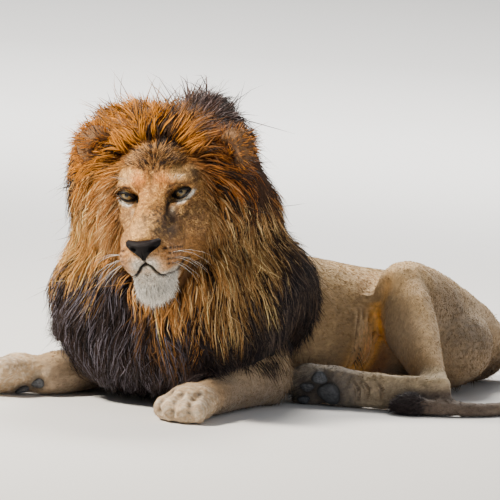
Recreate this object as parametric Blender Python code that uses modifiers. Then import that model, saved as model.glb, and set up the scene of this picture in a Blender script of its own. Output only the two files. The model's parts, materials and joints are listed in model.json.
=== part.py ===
"""A resting male lion at life size, modelled whole and parted where its parts are named.

The lion faces -Y, its left side is +X and the floor is z = 0.  It lies on its belly with the spine
bowed to its right, the head turned to its left, both forelegs forward, and the left hind leg drawn
up so that its foot lies on its inner edge beside the belly.

The flesh is built the way a sculptor builds in clay: tapered limbs and balls are pressed together,
fused by a voxel Remesh and smoothed.  Thin slabs then part the one body at its joints.  The mane is
a second fused form, cut to fit over the flesh.
"""

from math import cos, pi, radians, sin

import bmesh
import bpy
import numpy as np
from mathutils import Matrix, Vector

# ---------------------------------------------------------------- driving dimensions, in metres
SHOULDER = Vector((0.0, -0.396))  # plan of the point between the shoulder blades
SPINE_BOW = Vector((-0.03, 0.0))  # pulls the spine's curve to the lion's right
HIP = Vector((0.0, 0.396))  # plan of the point between the hip joints

HEAD_AT = Vector((0.213, -0.776, 0.470))  # on the bridge of the nose, between the eyes
HEAD_TURN = (36.0, 4.5, -8.4)  # degrees: to its left, nose down, right side down
NECK_CUT = 0.165  # the head ends this far behind the eyes
EYE_AT = Vector((0.0605, 0.0140, 0.0135))  # centre of the left eyeball from there
EYE_RADIUS = 0.0185
MOUTH_LINE = -0.136  # height of the mouth's line
JAW_HINGE = -0.030  # the lower jaw is free ahead of this

FOREPAW_LEFT = (Vector((0.356, -0.762, 0.0)), (20.0, 0.0, 0.0))
FOREPAW_RIGHT = (Vector((-0.074, -0.880, 0.022)), (-6.0, 0.0, -48.0))
HINDPAW_LEFT = (Vector((0.256, -0.240, 0.047)), (-49.5, 0.0, -62.0))
HINDPAW_RIGHT = (Vector((-0.356, 0.135, 0.0)), (-12.0, 0.0, 0.0))
MANE_AT = Vector((0.1414, -0.396, 0.0))  # the mane is laid out in a frame turned to the left,
MANE_TURN = (45.0, 0.0, 0.0)  # with the chest and the gaze

CUT = 0.0008  # width of the cuts that part the body
FIT = 0.0005  # clearance where one part is shaped over another
LEAST = 2e-6  # crumbs smaller than this volume are dropped

# ---------------------------------------------------------------- frames and curves
def frame_at(place, yaw=0.0, pitch=0.0, roll=0.0):
    """A local frame: -Y forward, +X to the lion's left; yaw turns left, pitch lowers the front."""
    turn = Matrix.Rotation(radians(yaw), 4, "Z") @ Matrix.Rotation(radians(pitch), 4, "X")
    return Matrix.Translation(place) @ turn @ Matrix.Rotation(radians(roll), 4, "Y")


def smooth_path(stations, per_span=6):
    """Catmull-Rom curve through rows of numbers: every column, radii included, is eased alike."""
    rows = np.array(stations, float)
    rows = np.vstack([2 * rows[0] - rows[1], rows, 2 * rows[-1] - rows[-2]])
    out = []
    for a, b, c, d in zip(rows, rows[1:], rows[2:], rows[3:]):
        for step in range(per_span):
            t = step / per_span
            out.append(0.5 * (2 * b + (c - a) * t + (2 * a - 5 * b + 4 * c - d) * t * t
                              + (3 * b - a - 3 * c + d) * t ** 3))
    return np.array(out + [rows[-2]])


def spine_point(distance):
    """Plan position and heading of the spine, a distance behind the shoulders along its curve."""
    t = np.linspace(0, 1, 101)[:, None]
    a, b, c = (np.array(p) for p in (SHOULDER, SPINE_BOW, HIP))
    line = (1 - t) ** 2 * a + 2 * t * (1 - t) * b + t ** 2 * c
    run = np.concatenate([[0], np.cumsum(np.linalg.norm(np.diff(line, axis=0), axis=1))])
    place = np.array([np.interp(distance, run, line[:, k]) for k in (0, 1)])
    ahead, behind = min(distance, 0.0), max(distance - run[-1], 0.0)
    start = (b - a) / np.linalg.norm(b - a)
    end = (c - b) / np.linalg.norm(c - b)
    near = min(max(distance, 0.0), run[-1]) / run[-1]
    back = (1 - near) * start + near * end
    return place + ahead * start + behind * end, back / np.linalg.norm(back)


# ---------------------------------------------------------------- clay
class Clay:
    """Overlapping closed forms, kept in one mesh until they are fused."""

    def __init__(self):
        self.mesh = bmesh.new()

    def ball(self, centre, radii, frame=Matrix(), turn=(0, 0, 0)):
        """An ellipsoid, placed and turned (degrees about X, Y, Z) in a frame."""
        spin = Matrix.Identity(4)
        for axis, degrees in zip("XYZ", turn):
            spin = Matrix.Rotation(radians(degrees), 4, axis) @ spin
        size = Matrix.Diagonal((*radii, 1))
        bmesh.ops.create_uvsphere(self.mesh, u_segments=24, v_segments=14, radius=1,
                                  matrix=frame @ Matrix.Translation(centre) @ spin @ size)

    def pair(self, centre, radii, frame=Matrix(), turn=(0, 0, 0)):
        """The same ellipsoid on both sides of a frame's middle plane."""
        x, y, z = centre
        self.ball((x, y, z), radii, frame, turn)
        self.ball((-x, y, z), radii, frame, (turn[0], -turn[1], -turn[2]))

    def rings(self, rings):
        """A closed skin over rings of equally many points, with a fan at each end."""
        bm = self.mesh
        rows = [[bm.verts.new(p) for p in ring] for ring in rings]
        count = len(rows[0])
        for low, high in zip(rows, rows[1:]):
            for k in range(count):
                nxt = (k + 1) % count
                bm.faces.new((low[k], low[nxt], high[nxt], high[k]))
        for row, flip in ((rows[0], True), (rows[-1], False)):
            middle = bm.verts.new(sum((v.co for v in row), Vector()) / count)
            for k in range(count):
                a, b = row[k], row[(k + 1) % count]
                bm.faces.new((b, a, middle) if flip else (a, b, middle))

    def limb(self, stations, frame=Matrix(), side=None, sides=20, per_span=6):
        """A tapered limb through stations (x, y, z, half width, half depth).

        The width lies along `side`, which is level and square to the limb unless it is given.
        """
        path = smooth_path(stations, per_span)
        centre = path[:, :3]
        along = np.gradient(centre, axis=0)
        along /= np.linalg.norm(along, axis=1)[:, None]
        rings = []
        for p, d, (wide, deep) in zip(centre, along, path[:, 3:5]):
            across = np.cross(d, (0, 0, 1)) if side is None else np.array(side, float)
            across -= d * (across @ d)
            across /= np.linalg.norm(across)
            up = np.cross(across, d)
            turns = np.arange(sides) * 2 * pi / sides
            ring = p + np.outer(np.cos(turns) * wide, across) + np.outer(np.sin(turns) * deep, up)
            rings.append([frame @ Vector(q) for q in ring])
        self.rings(rings)

    def trunk(self, sections, sides=28, squareness=2.3):
        """The barrel: upright superellipses across the spine (distance, half width, low, high)."""
        rings = []
        for distance, wide, low, high in smooth_path(sections, 5):
            (x, y), (bx, by) = spine_point(distance)
            turns = np.arange(sides) * 2 * pi / sides
            c, s = np.cos(turns), np.sin(turns)
            lateral = np.sign(c) * np.abs(c) ** (2 / squareness) * wide
            height = (low + high) / 2 + np.sign(s) * np.abs(s) ** (2 / squareness) * (high - low) / 2
            rings.append([Vector((x + by * q, y - bx * q, h)) for q, h in zip(lateral, height)])
        self.rings(rings)

    def fused(self, name, voxel, smoothing, triangles):
        """The forms as one smooth closed mesh object, thinned to about that many triangles."""
        bmesh.ops.recalc_face_normals(self.mesh, faces=self.mesh.faces[:])
        obj = new_object(name, self.mesh)
        remesh = obj.modifiers.new("Fuse", "REMESH")
        remesh.mode = "VOXEL"
        remesh.voxel_size = voxel
        smooth = obj.modifiers.new("Ease", "SMOOTH")
        smooth.factor = 0.5
        smooth.iterations = smoothing
        apply_modifiers(obj)
        faces = len(obj.data.polygons) * 2
        thin = obj.modifiers.new("Thin", "DECIMATE")
        thin.ratio = min(1.0, triangles / faces)
        thin.use_collapse_triangulate = True
        apply_modifiers(obj)
        return obj


def new_object(name, bm):
    """A mesh object in the workshop collection."""
    mesh = bpy.data.meshes.new(name)
    bm.to_mesh(mesh)
    bm.free()
    obj = bpy.data.objects.new(name, mesh)
    WORKSHOP.objects.link(obj)
    return obj


def apply_modifiers(obj):
    """Bake an object's modifiers into its mesh."""
    bpy.context.view_layer.update()
    graph = bpy.context.evaluated_depsgraph_get()
    made = bpy.data.meshes.new_from_object(obj.evaluated_get(graph))
    obj.modifiers.clear()
    old, obj.data = obj.data, made
    bpy.data.meshes.remove(old)


def drop(obj):
    """Remove an object that has served its purpose."""
    mesh = obj.data
    bpy.data.objects.remove(obj)
    bpy.data.meshes.remove(mesh)


def take_away(obj, tools):
    """Cut each tool out of an object, then drop the tools."""
    for tool in tools:
        cut = obj.modifiers.new("Cut", "BOOLEAN")
        cut.operation = "DIFFERENCE"
        cut.solver = "EXACT"
        cut.object = tool
        apply_modifiers(obj)
        drop(tool)


def grown(obj, amount=FIT):
    """A copy of a form with every vertex moved out along its normal."""
    bm = bmesh.new()
    bm.from_mesh(obj.data)
    bm.normal_update()
    moves = [v.normal * (amount * min(v.calc_shell_factor(), 3)) for v in bm.verts]
    for vertex, move in zip(bm.verts, moves):
        vertex.co += move
    return new_object("Former", bm)


def copied(obj):
    """A plain copy of a form."""
    return grown(obj, 0.0)


def block(low, high, frame=Matrix()):
    """A box between two corners of a frame."""
    middle = (Vector(low) + Vector(high)) / 2
    size = Vector(high) - Vector(low)
    bm = bmesh.new()
    place = frame @ Matrix.Translation(middle) @ Matrix.Diagonal((*size, 1))
    bmesh.ops.create_cube(bm, size=1, matrix=place)
    return new_object("Block", bm)


def disc(centre, along, radius):
    """A thin round cutter square to a limb."""
    turn = Vector((0, 0, 1)).rotation_difference(Vector(along)).to_matrix().to_4x4()
    bm = bmesh.new()
    bmesh.ops.create_cone(bm, cap_ends=True, segments=24, radius1=radius, radius2=radius, depth=CUT,
                          matrix=Matrix.Translation(centre) @ turn)
    return new_object("Disc", bm)


def floor_block():
    """Everything under the floor."""
    return block((-3, -3, -1), (3, 3, 0))


def separate(obj, seeds):
    """Split an object into its loose bodies and name each by the nearest of the named seeds."""
    bm = bmesh.new()
    bm.from_mesh(obj.data)
    folded = {}
    for face in bm.faces:
        folded.setdefault(frozenset(v.index for v in face.verts), []).append(face)
    flat = [face for faces in folded.values() if len(faces) > 1 for face in faces]
    bmesh.ops.delete(bm, geom=flat, context="FACES")
    left = set(bm.verts)
    bodies = []
    while left:
        front = [left.pop()]
        body = set(front)
        while front:
            for edge in front.pop().link_edges:
                for vertex in edge.verts:
                    if vertex in left:
                        left.discard(vertex)
                        body.add(vertex)
                        front.append(vertex)
        bodies.append(body)
    made = {}
    for body in bodies:
        part = bmesh.new()
        order = {v: part.verts.new(v.co) for v in bm.verts if v in body}
        for face in bm.faces:
            if face.verts[0] in body:
                part.faces.new([order[v] for v in face.verts])
        bmesh.ops.dissolve_degenerate(part, dist=1e-6, edges=part.edges[:])
        volume = part.calc_volume(signed=True)
        if volume < LEAST:
            part.free()
            continue
        middle = sum((v.co for v in part.verts), Vector()) / len(part.verts)
        name = min(seeds, key=lambda key: (Vector(seeds[key]) - middle).length)
        if name in made and made[name][0] > volume:
            part.free()
            continue
        if name in made:
            made[name][1].free()
        made[name] = (volume, part)
    bm.free()
    drop(obj)
    return {name: new_object(name, part) for name, (_, part) in made.items()}


# ---------------------------------------------------------------- the forms
def make_core():
    """Trunk and neck."""
    clay = Clay()
    clay.trunk([
        (-0.125, 0.070, 0.110, 0.270), (-0.095, 0.120, 0.050, 0.320), (0.000, 0.160, -0.004, 0.375),
        (0.120, 0.184, -0.006, 0.362), (0.260, 0.192, -0.006, 0.330), (0.400, 0.188, -0.006, 0.306),
        (0.520, 0.170, -0.006, 0.288), (0.640, 0.148, -0.006, 0.274), (0.760, 0.135, -0.006, 0.250),
        (0.860, 0.125, -0.004, 0.210), (0.950, 0.100, 0.006, 0.160), (1.000, 0.060, 0.030, 0.120)])
    clay.limb([
        (0.195, -0.705, 0.440, 0.088, 0.100), (0.150, -0.620, 0.405, 0.100, 0.115),
        (0.095, -0.530, 0.350, 0.118, 0.128), (0.040, -0.440, 0.285, 0.135, 0.135),
        (0.000, -0.340, 0.230, 0.130, 0.130)])
    core = clay.fused("core", 0.009, 8, 600)
    FORMERS["core"] = grown(core)
    return core


def make_head():
    """The head without ears, eyes and nose leather, ahead of the neck's cut."""
    face = frame_at(HEAD_AT, *HEAD_TURN)
    clay = Clay()
    clay.ball((0, 0.120, 0.030), (0.086, 0.135, 0.088), face)  # brain case
    clay.ball((0, 0.040, 0.034), (0.078, 0.060, 0.066), face)  # forehead
    clay.pair((0.068, 0.056, 0.016), (0.042, 0.056, 0.062), face)  # temples
    clay.pair((0.050, 0.012, 0.032), (0.031, 0.026, 0.016), face, (0, 12, 0))  # brows
    clay.limb([  # bridge of the nose
        (0, 0.040, 0.000, 0.052, 0.046), (0, -0.020, -0.018, 0.040, 0.038),
        (0, -0.080, -0.042, 0.040, 0.038), (0, -0.130, -0.066, 0.041, 0.036),
        (0, -0.160, -0.086, 0.036, 0.029)], face)
    clay.pair((0.031, -0.124, -0.103), (0.034, 0.050, 0.038), face)  # whisker pads
    clay.pair((0.039, -0.055, -0.087), (0.033, 0.075, 0.050), face)  # upper lips
    clay.pair((0.054, 0.006, -0.034), (0.036, 0.042, 0.034), face)  # below the eyes
    clay.pair((0.073, 0.064, -0.048), (0.044, 0.074, 0.058), face)  # cheek bones
    clay.pair((0.058, 0.084, -0.110), (0.046, 0.082, 0.056), face)  # jaw muscles
    clay.limb([  # lower jaw
        (0, -0.146, -0.155, 0.028, 0.022), (0, -0.120, -0.160, 0.037, 0.028),
        (0, -0.060, -0.159, 0.045, 0.031), (0, 0.040, -0.150, 0.062, 0.040)], face)
    clay.ball((0, 0.070, -0.130), (0.078, 0.095, 0.052), face)  # throat
    head = clay.fused("head", 0.0045, 4, 1200)
    FORMERS["head"] = grown(head)
    eyes = {"eye_left": ball_object(EYE_AT, EYE_RADIUS, face),
            "eye_right": ball_object(EYE_AT * Vector((-1, 1, 1)), EYE_RADIUS, face)}
    nose = Clay()
    nose.ball((0, -0.161, -0.084), (0.041, 0.018, 0.013), face, (-14, 0, 0))
    nose.ball((0, -0.165, -0.098), (0.024, 0.016, 0.018), face)
    nose.pair((0.024, -0.158, -0.093), (0.016, 0.018, 0.014), face)
    nose = nose.fused("nose", 0.003, 3, 140)
    tools = [block((-0.4, NECK_CUT, -0.4), (0.4, 0.6, 0.4), face), grown(nose)]
    tools += [ball_object(EYE_AT * Vector((side, 1, 1)), EYE_RADIUS + FIT, face) for side in (1, -1)]
    mouth = block((-0.2, -0.3, MOUTH_LINE - CUT / 2), (0.2, JAW_HINGE, MOUTH_LINE + CUT / 2), face)
    hinge = block((-0.2, JAW_HINGE - CUT, -0.4), (0.2, JAW_HINGE, MOUTH_LINE), face)
    take_away(head, tools + [mouth, hinge])
    seeds = {"head": face @ Vector((0, 0.04, 0)), "jaw": face @ Vector((0, -0.09, -0.17))}
    return {**separate(head, seeds), **eyes, "nose": nose}


def ball_object(centre, radius, frame):
    """A smooth ball in a frame."""
    bm = bmesh.new()
    bmesh.ops.create_uvsphere(bm, u_segments=12, v_segments=7, radius=radius,
                              matrix=frame @ Matrix.Translation(centre))
    return new_object("Ball", bm)


def make_ears(head):
    """Round ears, standing out of the mane beside the crown."""
    face = frame_at(HEAD_AT, *HEAD_TURN)
    made = {}
    for name, side, tip, root in (("ear_left", 1, (0.168, 0.122, 0.088), (0.126, 0.128, 0.062)),
                                  ("ear_right", -1, (-0.142, 0.124, 0.114), (-0.112, 0.128, 0.082))):
        clay = Clay()
        clay.ball(tip, (0.048, 0.019, 0.050), face, (-10, side * 45, side * -20))
        clay.ball(root, (0.040, 0.028, 0.036), face)
        ear = clay.fused(name, 0.005, 4, 90)
        FORMERS[name] = grown(ear)
        take_away(ear, [grown(head)])
        made.update(separate(ear, {name: (0, 0, 0)}))
    return made


def paw(clay, frame, scale=1.0, reach=1.0):
    """A paw with four toes, its sole on the frame's level."""
    clay.ball((0, 0.012, 0.040), (0.058 * scale, 0.074, 0.044), frame)
    for x, y in ((0.016, -0.062), (0.046, -0.046), (-0.016, -0.062), (-0.046, -0.046)):
        clay.ball((x * scale, y * reach, 0.026), (0.0195 * scale, 0.035, 0.029), frame)


def make_foreleg(side, forearm, place, turn, names, scale=1.0):
    """A foreleg: the shoulder and upper arm upright beside the chest, the forearm on the floor."""
    clay = Clay()
    out = abs(forearm[0][0])
    clay.ball((side * 0.128, -0.385, 0.220), (0.066, 0.088, 0.115))
    clay.ball((side * (out - 0.028), -0.380, 0.115), (0.056, 0.070, 0.095))
    clay.ball((side * out, -0.386, 0.066), (0.058, 0.062, 0.071))
    clay.limb(forearm)
    paw(clay, frame_at(place, *turn), scale)
    limb = clay.fused("foreleg", 0.0065, 6, 390)
    FORMERS[names[0]] = grown(limb)
    elbow = (Vector(forearm[1][:3]) + Vector(forearm[2][:3])) / 2
    wrist = Vector(forearm[-2][:3])
    along = wrist - elbow
    tools = [floor_block(), disc(elbow, along, 0.10), disc(wrist, along, 0.085)]
    seeds = dict(zip(names, ((side * 0.17, -0.39, 0.13), (elbow + wrist) / 2, place)))
    return limb, tools, seeds


def make_hindleg_left():
    """The upper hind leg: knee high beside the loin, foot lying forward on its inner edge."""
    clay = Clay()
    clay.limb([
        (0.020, 0.550, 0.076, 0.072, 0.060), (0.045, 0.475, 0.096, 0.105, 0.090),
        (0.075, 0.380, 0.126, 0.115, 0.106), (0.125, 0.250, 0.170, 0.100, 0.112),
        (0.172, 0.130, 0.216, 0.080, 0.102), (0.203, 0.052, 0.238, 0.064, 0.088),
        (0.218, 0.006, 0.231, 0.052, 0.070)])
    clay.ball((0.170, 0.270, 0.110), (0.100, 0.150, 0.100), turn=(0, 0, 18))
    clay.limb([
        (0.185, 0.075, 0.210, 0.060, 0.092), (0.236, 0.040, 0.196, 0.064, 0.094),
        (0.300, 0.010, 0.152, 0.056, 0.080), (0.366, -0.022, 0.104, 0.042, 0.060),
        (0.425, -0.050, 0.068, 0.032, 0.042), (0.460, -0.064, 0.054, 0.029, 0.034)])
    clay.limb([
        (0.480, -0.050, 0.052, 0.024, 0.034), (0.458, -0.068, 0.050, 0.031, 0.042),
        (0.403, -0.114, 0.045, 0.031, 0.043), (0.330, -0.176, 0.045, 0.034, 0.045),
        (0.281, -0.217, 0.046, 0.039, 0.048)])
    frame = frame_at(HINDPAW_LEFT[0], *HINDPAW_LEFT[1]) @ Matrix.Translation((0, 0, -0.034))
    paw(clay, frame, 0.86, 0.9)
    limb = clay.fused("hindleg_left", 0.0065, 6, 640)
    FORMERS["hindleg_left"] = grown(limb)
    tools = [floor_block(), disc((0.262, 0.028, 0.178), (0.8, -0.42, -0.62), 0.135),
             disc((0.424, -0.094, 0.060), (0.55, 0.80, 0.55), 0.085)]
    seeds = {"thigh_left": (0.12, 0.27, 0.16), "shank_left": (0.34, -0.03, 0.12),
             "hindfoot_left": (0.31, -0.2, 0.045)}
    return limb, tools, seeds


def make_hindleg_right():
    """The lower hind leg, folded flat on the floor under the rolled hip, as its three forms."""
    thigh = Clay()
    thigh.limb([
        (-0.030, 0.500, 0.085, 0.095, 0.085), (-0.075, 0.400, 0.088, 0.105, 0.092),
        (-0.140, 0.240, 0.086, 0.085, 0.090), (-0.192, 0.110, 0.080, 0.062, 0.082),
        (-0.212, 0.060, 0.074, 0.045, 0.068)])
    shank = Clay()
    shank.limb([
        (-0.222, 0.085, 0.068, 0.040, 0.062), (-0.240, 0.130, 0.067, 0.049, 0.066),
        (-0.246, 0.200, 0.060, 0.045, 0.061), (-0.256, 0.310, 0.049, 0.035, 0.050),
        (-0.266, 0.410, 0.043, 0.028, 0.044), (-0.270, 0.440, 0.040, 0.022, 0.036)])
    foot = Clay()
    foot.limb([
        (-0.272, 0.462, 0.040, 0.020, 0.030), (-0.284, 0.425, 0.039, 0.029, 0.041),
        (-0.318, 0.300, 0.034, 0.030, 0.038), (-0.346, 0.190, 0.035, 0.034, 0.038)])
    paw(foot, frame_at(HINDPAW_RIGHT[0], *HINDPAW_RIGHT[1]), 0.86, 0.9)
    forms = {"thigh_right": thigh.fused("thigh_right", 0.008, 6, 260),
             "shank_right": shank.fused("shank_right", 0.007, 6, 170),
             "hindfoot_right": foot.fused("hindfoot_right", 0.0065, 6, 200)}
    return forms


def make_tail():
    """The tail, curled forward on the floor round the lion's left side to a tuft at the hock."""
    clay = Clay()
    clay.limb([
        (-0.005, 0.570, 0.090, 0.034, 0.034), (0.030, 0.615, 0.062, 0.030, 0.030),
        (0.110, 0.620, 0.034, 0.025, 0.025), (0.250, 0.530, 0.022, 0.023, 0.023),
        (0.385, 0.385, 0.020, 0.022, 0.021), (0.480, 0.230, 0.019, 0.021, 0.020),
        (0.522, 0.080, 0.018, 0.020, 0.019), (0.512, -0.040, 0.019, 0.020, 0.020),
        (0.478, -0.116, 0.022, 0.022, 0.021), (0.456, -0.148, 0.028, 0.028, 0.027),
        (0.432, -0.178, 0.026, 0.022, 0.021), (0.418, -0.193, 0.022, 0.008, 0.008)], sides=14)
    limb = clay.fused("tail", 0.006, 4, 300)
    tools = [floor_block(), disc((0.250, 0.530, 0.022), (0.75, -0.66, 0), 0.05),
             disc((0.516, -0.010, 0.019), (-0.15, -1, 0), 0.05)]
    seeds = {"tail_base": (0.1, 0.6, 0.05), "tail_middle": (0.46, 0.26, 0.02),
             "tail_tuft": (0.45, -0.14, 0.03)}
    return limb, tools, seeds


def make_mane():
    """The mane's whole mass out to the tips of its hair."""
    around = frame_at(MANE_AT, *MANE_TURN)
    clay = Clay()
    clay.ball((-0.275, -0.080, 0.500), (0.150, 0.150, 0.190), around)  # crown
    clay.ball((-0.122, -0.030, 0.520), (0.130, 0.160, 0.197), around)  # crest behind it
    clay.ball((-0.168, -0.040, 0.400), (0.245, 0.215, 0.200), around)  # ruff
    clay.ball((-0.142, -0.010, 0.255), (0.298, 0.250, 0.190), around)  # sides of the neck
    clay.ball((-0.155, -0.085, 0.155), (0.258, 0.215, 0.164), around)  # chest
    clay.ball((-0.060, 0.130, 0.295), (0.175, 0.170, 0.125), around)  # withers
    clay.ball((0.045, 0.060, 0.250), (0.125, 0.120, 0.135), around)  # left shoulder
    face = frame_at(HEAD_AT, *HEAD_TURN)
    clay.ball((0, 0.178, 0.000), (0.215, 0.150, 0.200), face)  # halo round the face
    clay.ball((0, 0.095, -0.210), (0.155, 0.125, 0.125), face)  # under the chin
    clay.ball((0, 0.090, -0.330), (0.150, 0.110, 0.110), face)  # throat
    mane = clay.fused("mane", 0.013, 10, 450)
    return mane, around


# ---------------------------------------------------------------- building and parting
def colour(name, rgb, roughness):
    """A plain material."""
    made = bpy.data.materials.new(name)
    made.use_nodes = True
    shader = made.node_tree.nodes["Principled BSDF"]
    shader.inputs["Base Color"].default_value = (*rgb, 1)
    shader.inputs["Roughness"].default_value = roughness
    return made


for found in list(bpy.data.objects):
    bpy.data.objects.remove(found)
WORKSHOP = bpy.data.collections.new("workshop")
FORMERS = {}  # grown copies of whole forms, over which later parts are shaped
bpy.context.scene.collection.children.link(WORKSHOP)

nodes = {}
around_head = frame_at(HEAD_AT, *HEAD_TURN)
nodes.update(make_head())
nodes.update(make_ears(nodes["head"]))

core = make_core()
neck_slab = block((-0.4, -0.515 - CUT, -0.1), (0.5, -0.515, 0.7))
head_space = block((-0.4, -0.3, -0.3), (0.4, NECK_CUT + CUT, 0.4), around_head)
take_away(core, [floor_block(), head_space, neck_slab])
nodes.update(separate(core, {"trunk": (0, 0, 0.15), "neck": (0.12, -0.57, 0.37)}))

legs = [
    make_foreleg(1, [
        (0.212, -0.376, 0.068, 0.056, 0.068), (0.228, -0.450, 0.064, 0.055, 0.064),
        (0.262, -0.540, 0.054, 0.049, 0.055), (0.300, -0.630, 0.045, 0.046, 0.047),
        (0.325, -0.690, 0.041, 0.047, 0.043), (0.343, -0.735, 0.040, 0.050, 0.041)],
        *FOREPAW_LEFT, ("upper_arm_left", "forearm_left", "forepaw_left")),
    make_foreleg(-1, [
        (-0.198, -0.380, 0.066, 0.055, 0.066), (-0.180, -0.450, 0.062, 0.054, 0.062),
        (-0.142, -0.560, 0.053, 0.048, 0.054), (-0.100, -0.680, 0.048, 0.045, 0.050),
        (-0.080, -0.770, 0.050, 0.046, 0.053), (-0.074, -0.840, 0.042, 0.044, 0.042)],
        *FOREPAW_RIGHT, ("upper_arm_right", "forearm_right", "forepaw_right"), 0.92),
    make_hindleg_left()]
for limb, tools, seeds in legs:
    over = ["core"] if limb.name.startswith("foreleg") else ["core", "upper_arm_left"]
    take_away(limb, [copied(FORMERS[name]) for name in over] + tools)
    nodes.update(separate(limb, seeds))

over = [FORMERS["core"]]
for name, form in make_hindleg_right().items():
    before = grown(form)
    take_away(form, [copied(former) for former in over] + [floor_block()])
    nodes.update(separate(form, {name: (0, 0, 0)}))
    over.append(before)

limb, tools, seeds = make_tail()
take_away(limb, [copied(former) for former in over + [FORMERS["hindleg_left"]]] + tools)
nodes.update(separate(limb, seeds))

mane, around_mane = make_mane()
take_away(mane, [copied(FORMERS[name]) for name in (
    "core", "head", "ear_left", "ear_right", "upper_arm_left", "upper_arm_right")])
take_away(mane, [floor_block()])
crown_cut = block((-0.6, -0.6, 0.520), (0.5, 0.5, 0.520 + CUT), around_mane)
chest_cut = block((-0.6, -0.6, 0.200), (0.5, 0.5, 0.200 + CUT), around_mane)
middle_cut = block((-0.160, -0.6, 0.200 + CUT / 2), (-0.160 + CUT, 0.5, 0.520 + CUT / 2), around_mane)
take_away(mane, [crown_cut, chest_cut, middle_cut])
nodes.update(separate(mane, {
    "mane_crown": around_mane @ Vector((-0.165, -0.05, 0.62)),
    "mane_left": around_mane @ Vector((0.03, 0, 0.35)),
    "mane_right": around_mane @ Vector((-0.33, 0, 0.35)),
    "mane_chest": around_mane @ Vector((-0.17, -0.15, 0.10))}))
for former in over[1:] + list(FORMERS.values()):
    drop(former)

COAT = {"trunk": (0.47, 0.33, 0.20), "head": (0.50, 0.33, 0.18), "jaw": (0.66, 0.58, 0.48)}
HAIR = {"mane_crown": (0.36, 0.17, 0.06), "mane_left": (0.30, 0.15, 0.06),
        "mane_right": (0.34, 0.18, 0.08), "mane_chest": (0.045, 0.032, 0.026),
        "tail_tuft": (0.045, 0.032, 0.026), "ear_left": (0.14, 0.08, 0.04), "ear_right": (0.14, 0.08, 0.04)}
for name, obj in nodes.items():
    obj.name = name
    obj.data.name = name
    for polygon in obj.data.polygons:
        polygon.use_smooth = True
    if name.startswith("eye"):
        made = colour(name + "_glass", (0.35, 0.22, 0.08), 0.08)
    elif name == "nose":
        made = colour("nose_leather", (0.02, 0.016, 0.015), 0.45)
    else:
        rgb = HAIR.get(name, COAT.get(name, (0.47, 0.33, 0.20)))
        made = colour(name + "_fur", rgb, 0.85)
    obj.data.materials.clear()
    obj.data.materials.append(made)
    WORKSHOP.objects.unlink(obj)
    home = bpy.data.collections.new(name)
    bpy.context.scene.collection.children.link(home)
    home.objects.link(obj)
bpy.context.scene.collection.children.unlink(WORKSHOP)
bpy.data.collections.remove(WORKSHOP)
for name in sorted(nodes):
    mesh = nodes[name].data
    mesh.calc_loop_triangles()
    print(name, len(mesh.loop_triangles))
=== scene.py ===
# %% [markdown]
# # A resting male lion
#
# This lesson dresses a fixed frame of plain solids as a living lion. The frame says where each part
# of the body is. We give it one skin, a sculpted face, glass-bright eyes, a short coat and a mane.
# Almost every surface is worked out with numpy as whole arrays and then handed to Blender.

import json
from math import cos, pi, radians, sin, sqrt

import bmesh
import bpy
import numpy as np
from mathutils import Matrix, Vector
from mathutils.bvhtree import BVHTree
from mathutils.kdtree import KDTree

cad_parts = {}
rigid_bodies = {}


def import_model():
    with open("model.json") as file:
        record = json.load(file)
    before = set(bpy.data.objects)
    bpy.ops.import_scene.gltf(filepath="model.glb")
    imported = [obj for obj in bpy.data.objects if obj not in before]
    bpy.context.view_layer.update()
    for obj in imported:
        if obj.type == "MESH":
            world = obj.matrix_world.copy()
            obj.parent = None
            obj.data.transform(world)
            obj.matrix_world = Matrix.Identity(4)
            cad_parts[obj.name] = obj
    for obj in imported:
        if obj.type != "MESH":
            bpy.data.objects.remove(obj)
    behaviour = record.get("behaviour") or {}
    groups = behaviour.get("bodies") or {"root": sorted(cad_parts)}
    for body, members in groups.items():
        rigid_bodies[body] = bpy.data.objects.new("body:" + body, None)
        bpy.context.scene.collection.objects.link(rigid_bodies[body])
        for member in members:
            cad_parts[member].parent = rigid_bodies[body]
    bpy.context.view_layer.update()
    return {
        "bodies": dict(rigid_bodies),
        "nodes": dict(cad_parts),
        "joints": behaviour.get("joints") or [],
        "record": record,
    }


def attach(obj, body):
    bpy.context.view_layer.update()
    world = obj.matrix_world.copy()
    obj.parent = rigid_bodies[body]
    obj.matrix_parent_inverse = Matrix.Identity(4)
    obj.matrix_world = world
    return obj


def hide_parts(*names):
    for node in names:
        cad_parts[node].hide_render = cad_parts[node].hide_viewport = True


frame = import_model()
NODES = frame["nodes"]

# %% [markdown]
# The camera stands far off at the lion's left front with a long lens, as a visitor with binoculars
# would, a little above the floor. The ground under this lion fell away a little towards its tail,
# so the camera is rolled by the same few degrees.

# %% Camera
LOOK_AT = np.array([0.1414, -0.396, 0.347])
AZIMUTH, ELEVATION, ROLL, DISTANCE, FIELD = radians(45.0), radians(5.0), radians(4.0), 10.0, 1.14


def camera_axes():
    """Right, up and back of a camera that looks level-ish at the lion, then rolls clockwise."""
    back = np.array([sin(AZIMUTH) * cos(ELEVATION), -cos(AZIMUTH) * cos(ELEVATION), sin(ELEVATION)])
    right = np.array([cos(AZIMUTH), sin(AZIMUTH), 0.0])
    up = np.cross(back, right)
    return cos(ROLL) * right + sin(ROLL) * up, cos(ROLL) * up - sin(ROLL) * right, back


RIGHT, UP, BACK = camera_axes()
camera_data = bpy.data.cameras.new("camera")
camera_data.lens = 36.0 * DISTANCE / FIELD
camera_data.clip_end = 60
camera = bpy.data.objects.new("camera", camera_data)
bpy.context.scene.collection.objects.link(camera)
place = Matrix(np.column_stack([RIGHT, UP, BACK]).tolist()).to_4x4()
place.translation = LOOK_AT + DISTANCE * BACK
camera.matrix_world = place
bpy.context.scene.camera = camera
print("camera", [round(c, 2) for c in camera.location], "lens", round(camera_data.lens, 1))

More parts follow.
